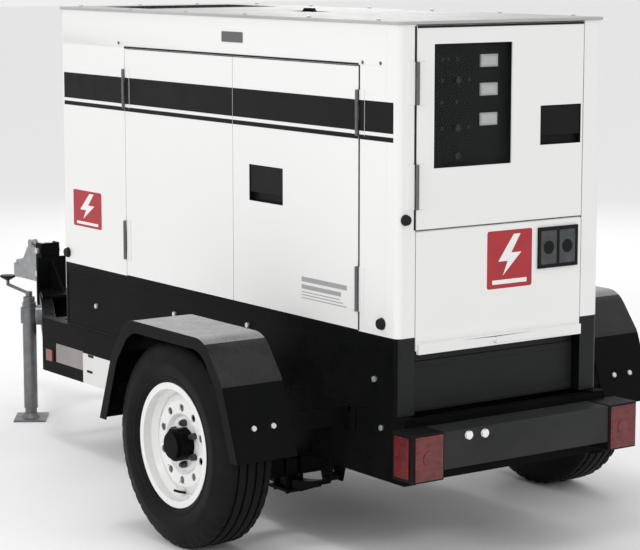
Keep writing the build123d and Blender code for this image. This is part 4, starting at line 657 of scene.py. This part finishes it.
# ---------------------------------------------------------------- lamp lens ribs
lens_low, lens_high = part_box("lamp_lenses")
LENS_INNER = 0.353
LENS_RIM = 0.012
RIBS = 7
RIB_MARGIN, RIB_INSET, RIB_HALF, RIB_H = 0.010, 0.006, 0.0035, 0.0016
LENS_EYE_R, LENS_EYE_H = 0.024, 0.0028
lens_face = facing_rear(lens_high.x - 0.0004)
rib_step = (lens_high.z - lens_low.z - 2 * RIB_MARGIN) / (RIBS - 1)
for side, sign in SIDES.items():
    y0, y1 = sorted((sign * LENS_INNER, sign * (lens_high.y - LENS_RIM)))
    for k in range(RIBS):
        z = lens_low.z + RIB_MARGIN + k * rib_step
        rib = rect(y0 + RIB_INSET, y1 - RIB_INSET, z - RIB_HALF, z + RIB_HALF, 0.002)
        film(f"lens_rib_{side}_{k}", rib, lens_face, RIB_H, "lens_red", "body")
    eye = disc((y0 + y1) / 2, (lens_low.z + lens_high.z) / 2, LENS_EYE_R, 24)
    film(f"lens_eye_{side}", eye, lens_face, LENS_EYE_H, "lens_red", "body")

# ---------------------------------------------------------------- tyres
TREAD_DEPTH = 0.0075
TREAD_STEPS = 176
SIPE_DEPTH = 0.004
SIPE_EVERY = 4
CROWN = 0.0044             # how much the tread falls off at its full half width
# Sidewall from the bead outward, as radius and distance from the tyre's middle plane
SIDEWALL = [(0.190, 0.0810), (0.2080, 0.0812), (0.2130, 0.0880), (0.2190, 0.0925), (0.2240, 0.0930),
            (0.2260, 0.0955), (0.2300, 0.0960), (0.2320, 0.0950), (0.2480, 0.1005), (0.2640, 0.1020),
            (0.2660, 0.1024), (0.2780, 0.1018), (0.2800, 0.1008), (0.2980, 0.0975), (0.3120, 0.0925),
            (0.3200, 0.0895), (0.3280, 0.0850), (0.3360, 0.0790), (0.3400, 0.0745)]
# Edges of the tread ribs from the shoulder to the middle, and which of them are down in a groove
TREAD_EDGES = [0.0730, 0.0535, 0.0525, 0.0455, 0.0445, 0.0215, 0.0205, 0.0135, 0.0125]
IN_GROOVE = {2, 3, 6, 7}
SHOULDER = range(len(SIDEWALL) - 4, len(SIDEWALL) + 2)
OUTSIDE = len(SIDEWALL) + len(TREAD_EDGES)


def tyre_profile(radius, half):
    """Closed section of the tyre: one outside half, its mirror image and the inside."""
    tread = []
    for k, y in enumerate(TREAD_EDGES):
        crown = radius - CROWN * (y / half) ** 2
        tread.append((crown - (TREAD_DEPTH if k in IN_GROOVE else 0.0), y))
    inside = [(radius - 0.024, 0.060), (0.300, 0.086), (0.250, 0.092), (0.215, 0.070), (0.190, 0.060)]
    outside = SIDEWALL + tread
    return (outside + [(r, -y) for r, y in outside[::-1]]
            + [(r, -y) for r, y in inside[::-1]] + inside)


def sipe(i, k):
    """Cross grooves in both shoulders, every fourth step."""
    on_shoulder = k in SHOULDER or 2 * OUTSIDE - 1 - k in SHOULDER
    return SIPE_DEPTH if on_shoulder and i % SIPE_EVERY == 0 else 0.0


def valve_stem(side, mid, out):
    """Short bent rubber stem that comes out of the rim below the hub."""
    y = out * (abs(mid.y) + 0.060)
    path = ((y - out * 0.022, 0.166), (y, 0.160), (y + out * 0.020, 0.152))
    stem = bpy.data.curves.new(f"{side}_valve_stem", "CURVE")
    stem.dimensions = "3D"
    stem.bevel_depth = 0.0045
    stem.bevel_resolution = 3
    stem.use_fill_caps = True
    line = stem.splines.new("POLY")
    line.points.add(len(path) - 1)
    for point, (y, drop) in zip(line.points, path):
        point.co = (mid.x, y, mid.z - drop, 1)
    stem.materials.append(MAT["soft_rubber"])
    obj = bpy.data.objects.new(f"{side}_valve_stem", stem)
    bpy.context.scene.collection.objects.link(obj)
    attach(obj, f"{side}_wheel")


for side, sign in SIDES.items():
    low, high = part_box(f"{side}_tyre")
    mid = (low + high) / 2
    section = tyre_profile((high.z - low.z) / 2, (high.y - low.y) / 2)
    tyre = lathe(f"{side}_tyre_detail", [(r, mid.y + y) for r, y in section], mid, TREAD_STEPS,
                 "tyre_rubber", f"{side}_wheel", dent=sipe)
    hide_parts(f"{side}_tyre")
    crease = tyre.modifiers.new("creases", "EDGE_SPLIT")
    crease.split_angle = math.radians(38)
    valve_stem(side, mid, sign)


# ---------------------------------------------------------------- floor, light, camera
def floor_plane():
    """Wide pale floor just under the wheels."""
    material = finish_of("studio_floor", (0.90, 0.90, 0.90), 0.8, tone=0.004, grain=0.02, grain_scale=60)
    mesh = bpy.data.meshes.new("floor")
    reach = 60.0
    corners = [(-reach, -reach, 0), (reach, -reach, 0), (reach, reach, 0), (-reach, reach, 0)]
    mesh.from_pydata(corners, [], [(0, 1, 2, 3)])
    mesh.materials.append(material)
    obj = bpy.data.objects.new("floor", mesh)
    bpy.context.scene.collection.objects.link(obj)
    obj.location.z = -0.0005


floor_plane()


def softbox(name, place, target, size, power, colour=(1, 1, 1)):
    """Square area light that faces a point."""
    data = bpy.data.lights.new(name, "AREA")
    data.shape = "SQUARE"
    data.size = size
    data.energy = power
    data.color = colour
    obj = bpy.data.objects.new(name, data)
    bpy.context.scene.collection.objects.link(obj)
    obj.location = place
    aim = Vector(target) - Vector(place)
    obj.rotation_mode = "QUATERNION"
    obj.rotation_quaternion = aim.to_track_quat("-Z", "Y")


softbox("key", (2.4, -7.0, 4.4), (0.3, 0, 0.8), 1.6, 120)
softbox("fill", (8.0, 1.5, 3.4), (0.8, 0, 0.9), 1.4, 30)
softbox("top", (-0.5, -1.0, 7.0), (0, 0, 0.8), 1.6, 80)
softbox("back", (-6.0, 5.0, 3.5), (0, 0, 0.9), 1.6, 70)
world = bpy.data.worlds.new("studio")
world.use_nodes = True
world.node_tree.nodes["Background"].inputs["Color"].default_value = (1, 1, 1, 1)
world.node_tree.nodes["Background"].inputs["Strength"].default_value = 0.86
bpy.context.scene.world = world
bpy.context.scene.view_settings.view_transform = "Standard"

CAMERA_AZIMUTH = math.radians(54.758)
CAMERA_ELEVATION = math.radians(8.461)
camera_data = bpy.data.cameras.new("camera")
camera_data.sensor_width = 36.0
camera_data.lens = 123.58
camera_data.clip_end = 200.0
camera = bpy.data.objects.new("camera", camera_data)
bpy.context.scene.collection.objects.link(camera)
camera.location = (6.990, -4.525, 1.956)
toward = Vector((math.sin(CAMERA_AZIMUTH) * math.cos(CAMERA_ELEVATION),
                 -math.cos(CAMERA_AZIMUTH) * math.cos(CAMERA_ELEVATION), math.sin(CAMERA_ELEVATION)))
camera.rotation_mode = "QUATERNION"
camera.rotation_quaternion = (-toward).to_track_quat("-Z", "Y")
bpy.context.scene.camera = camera
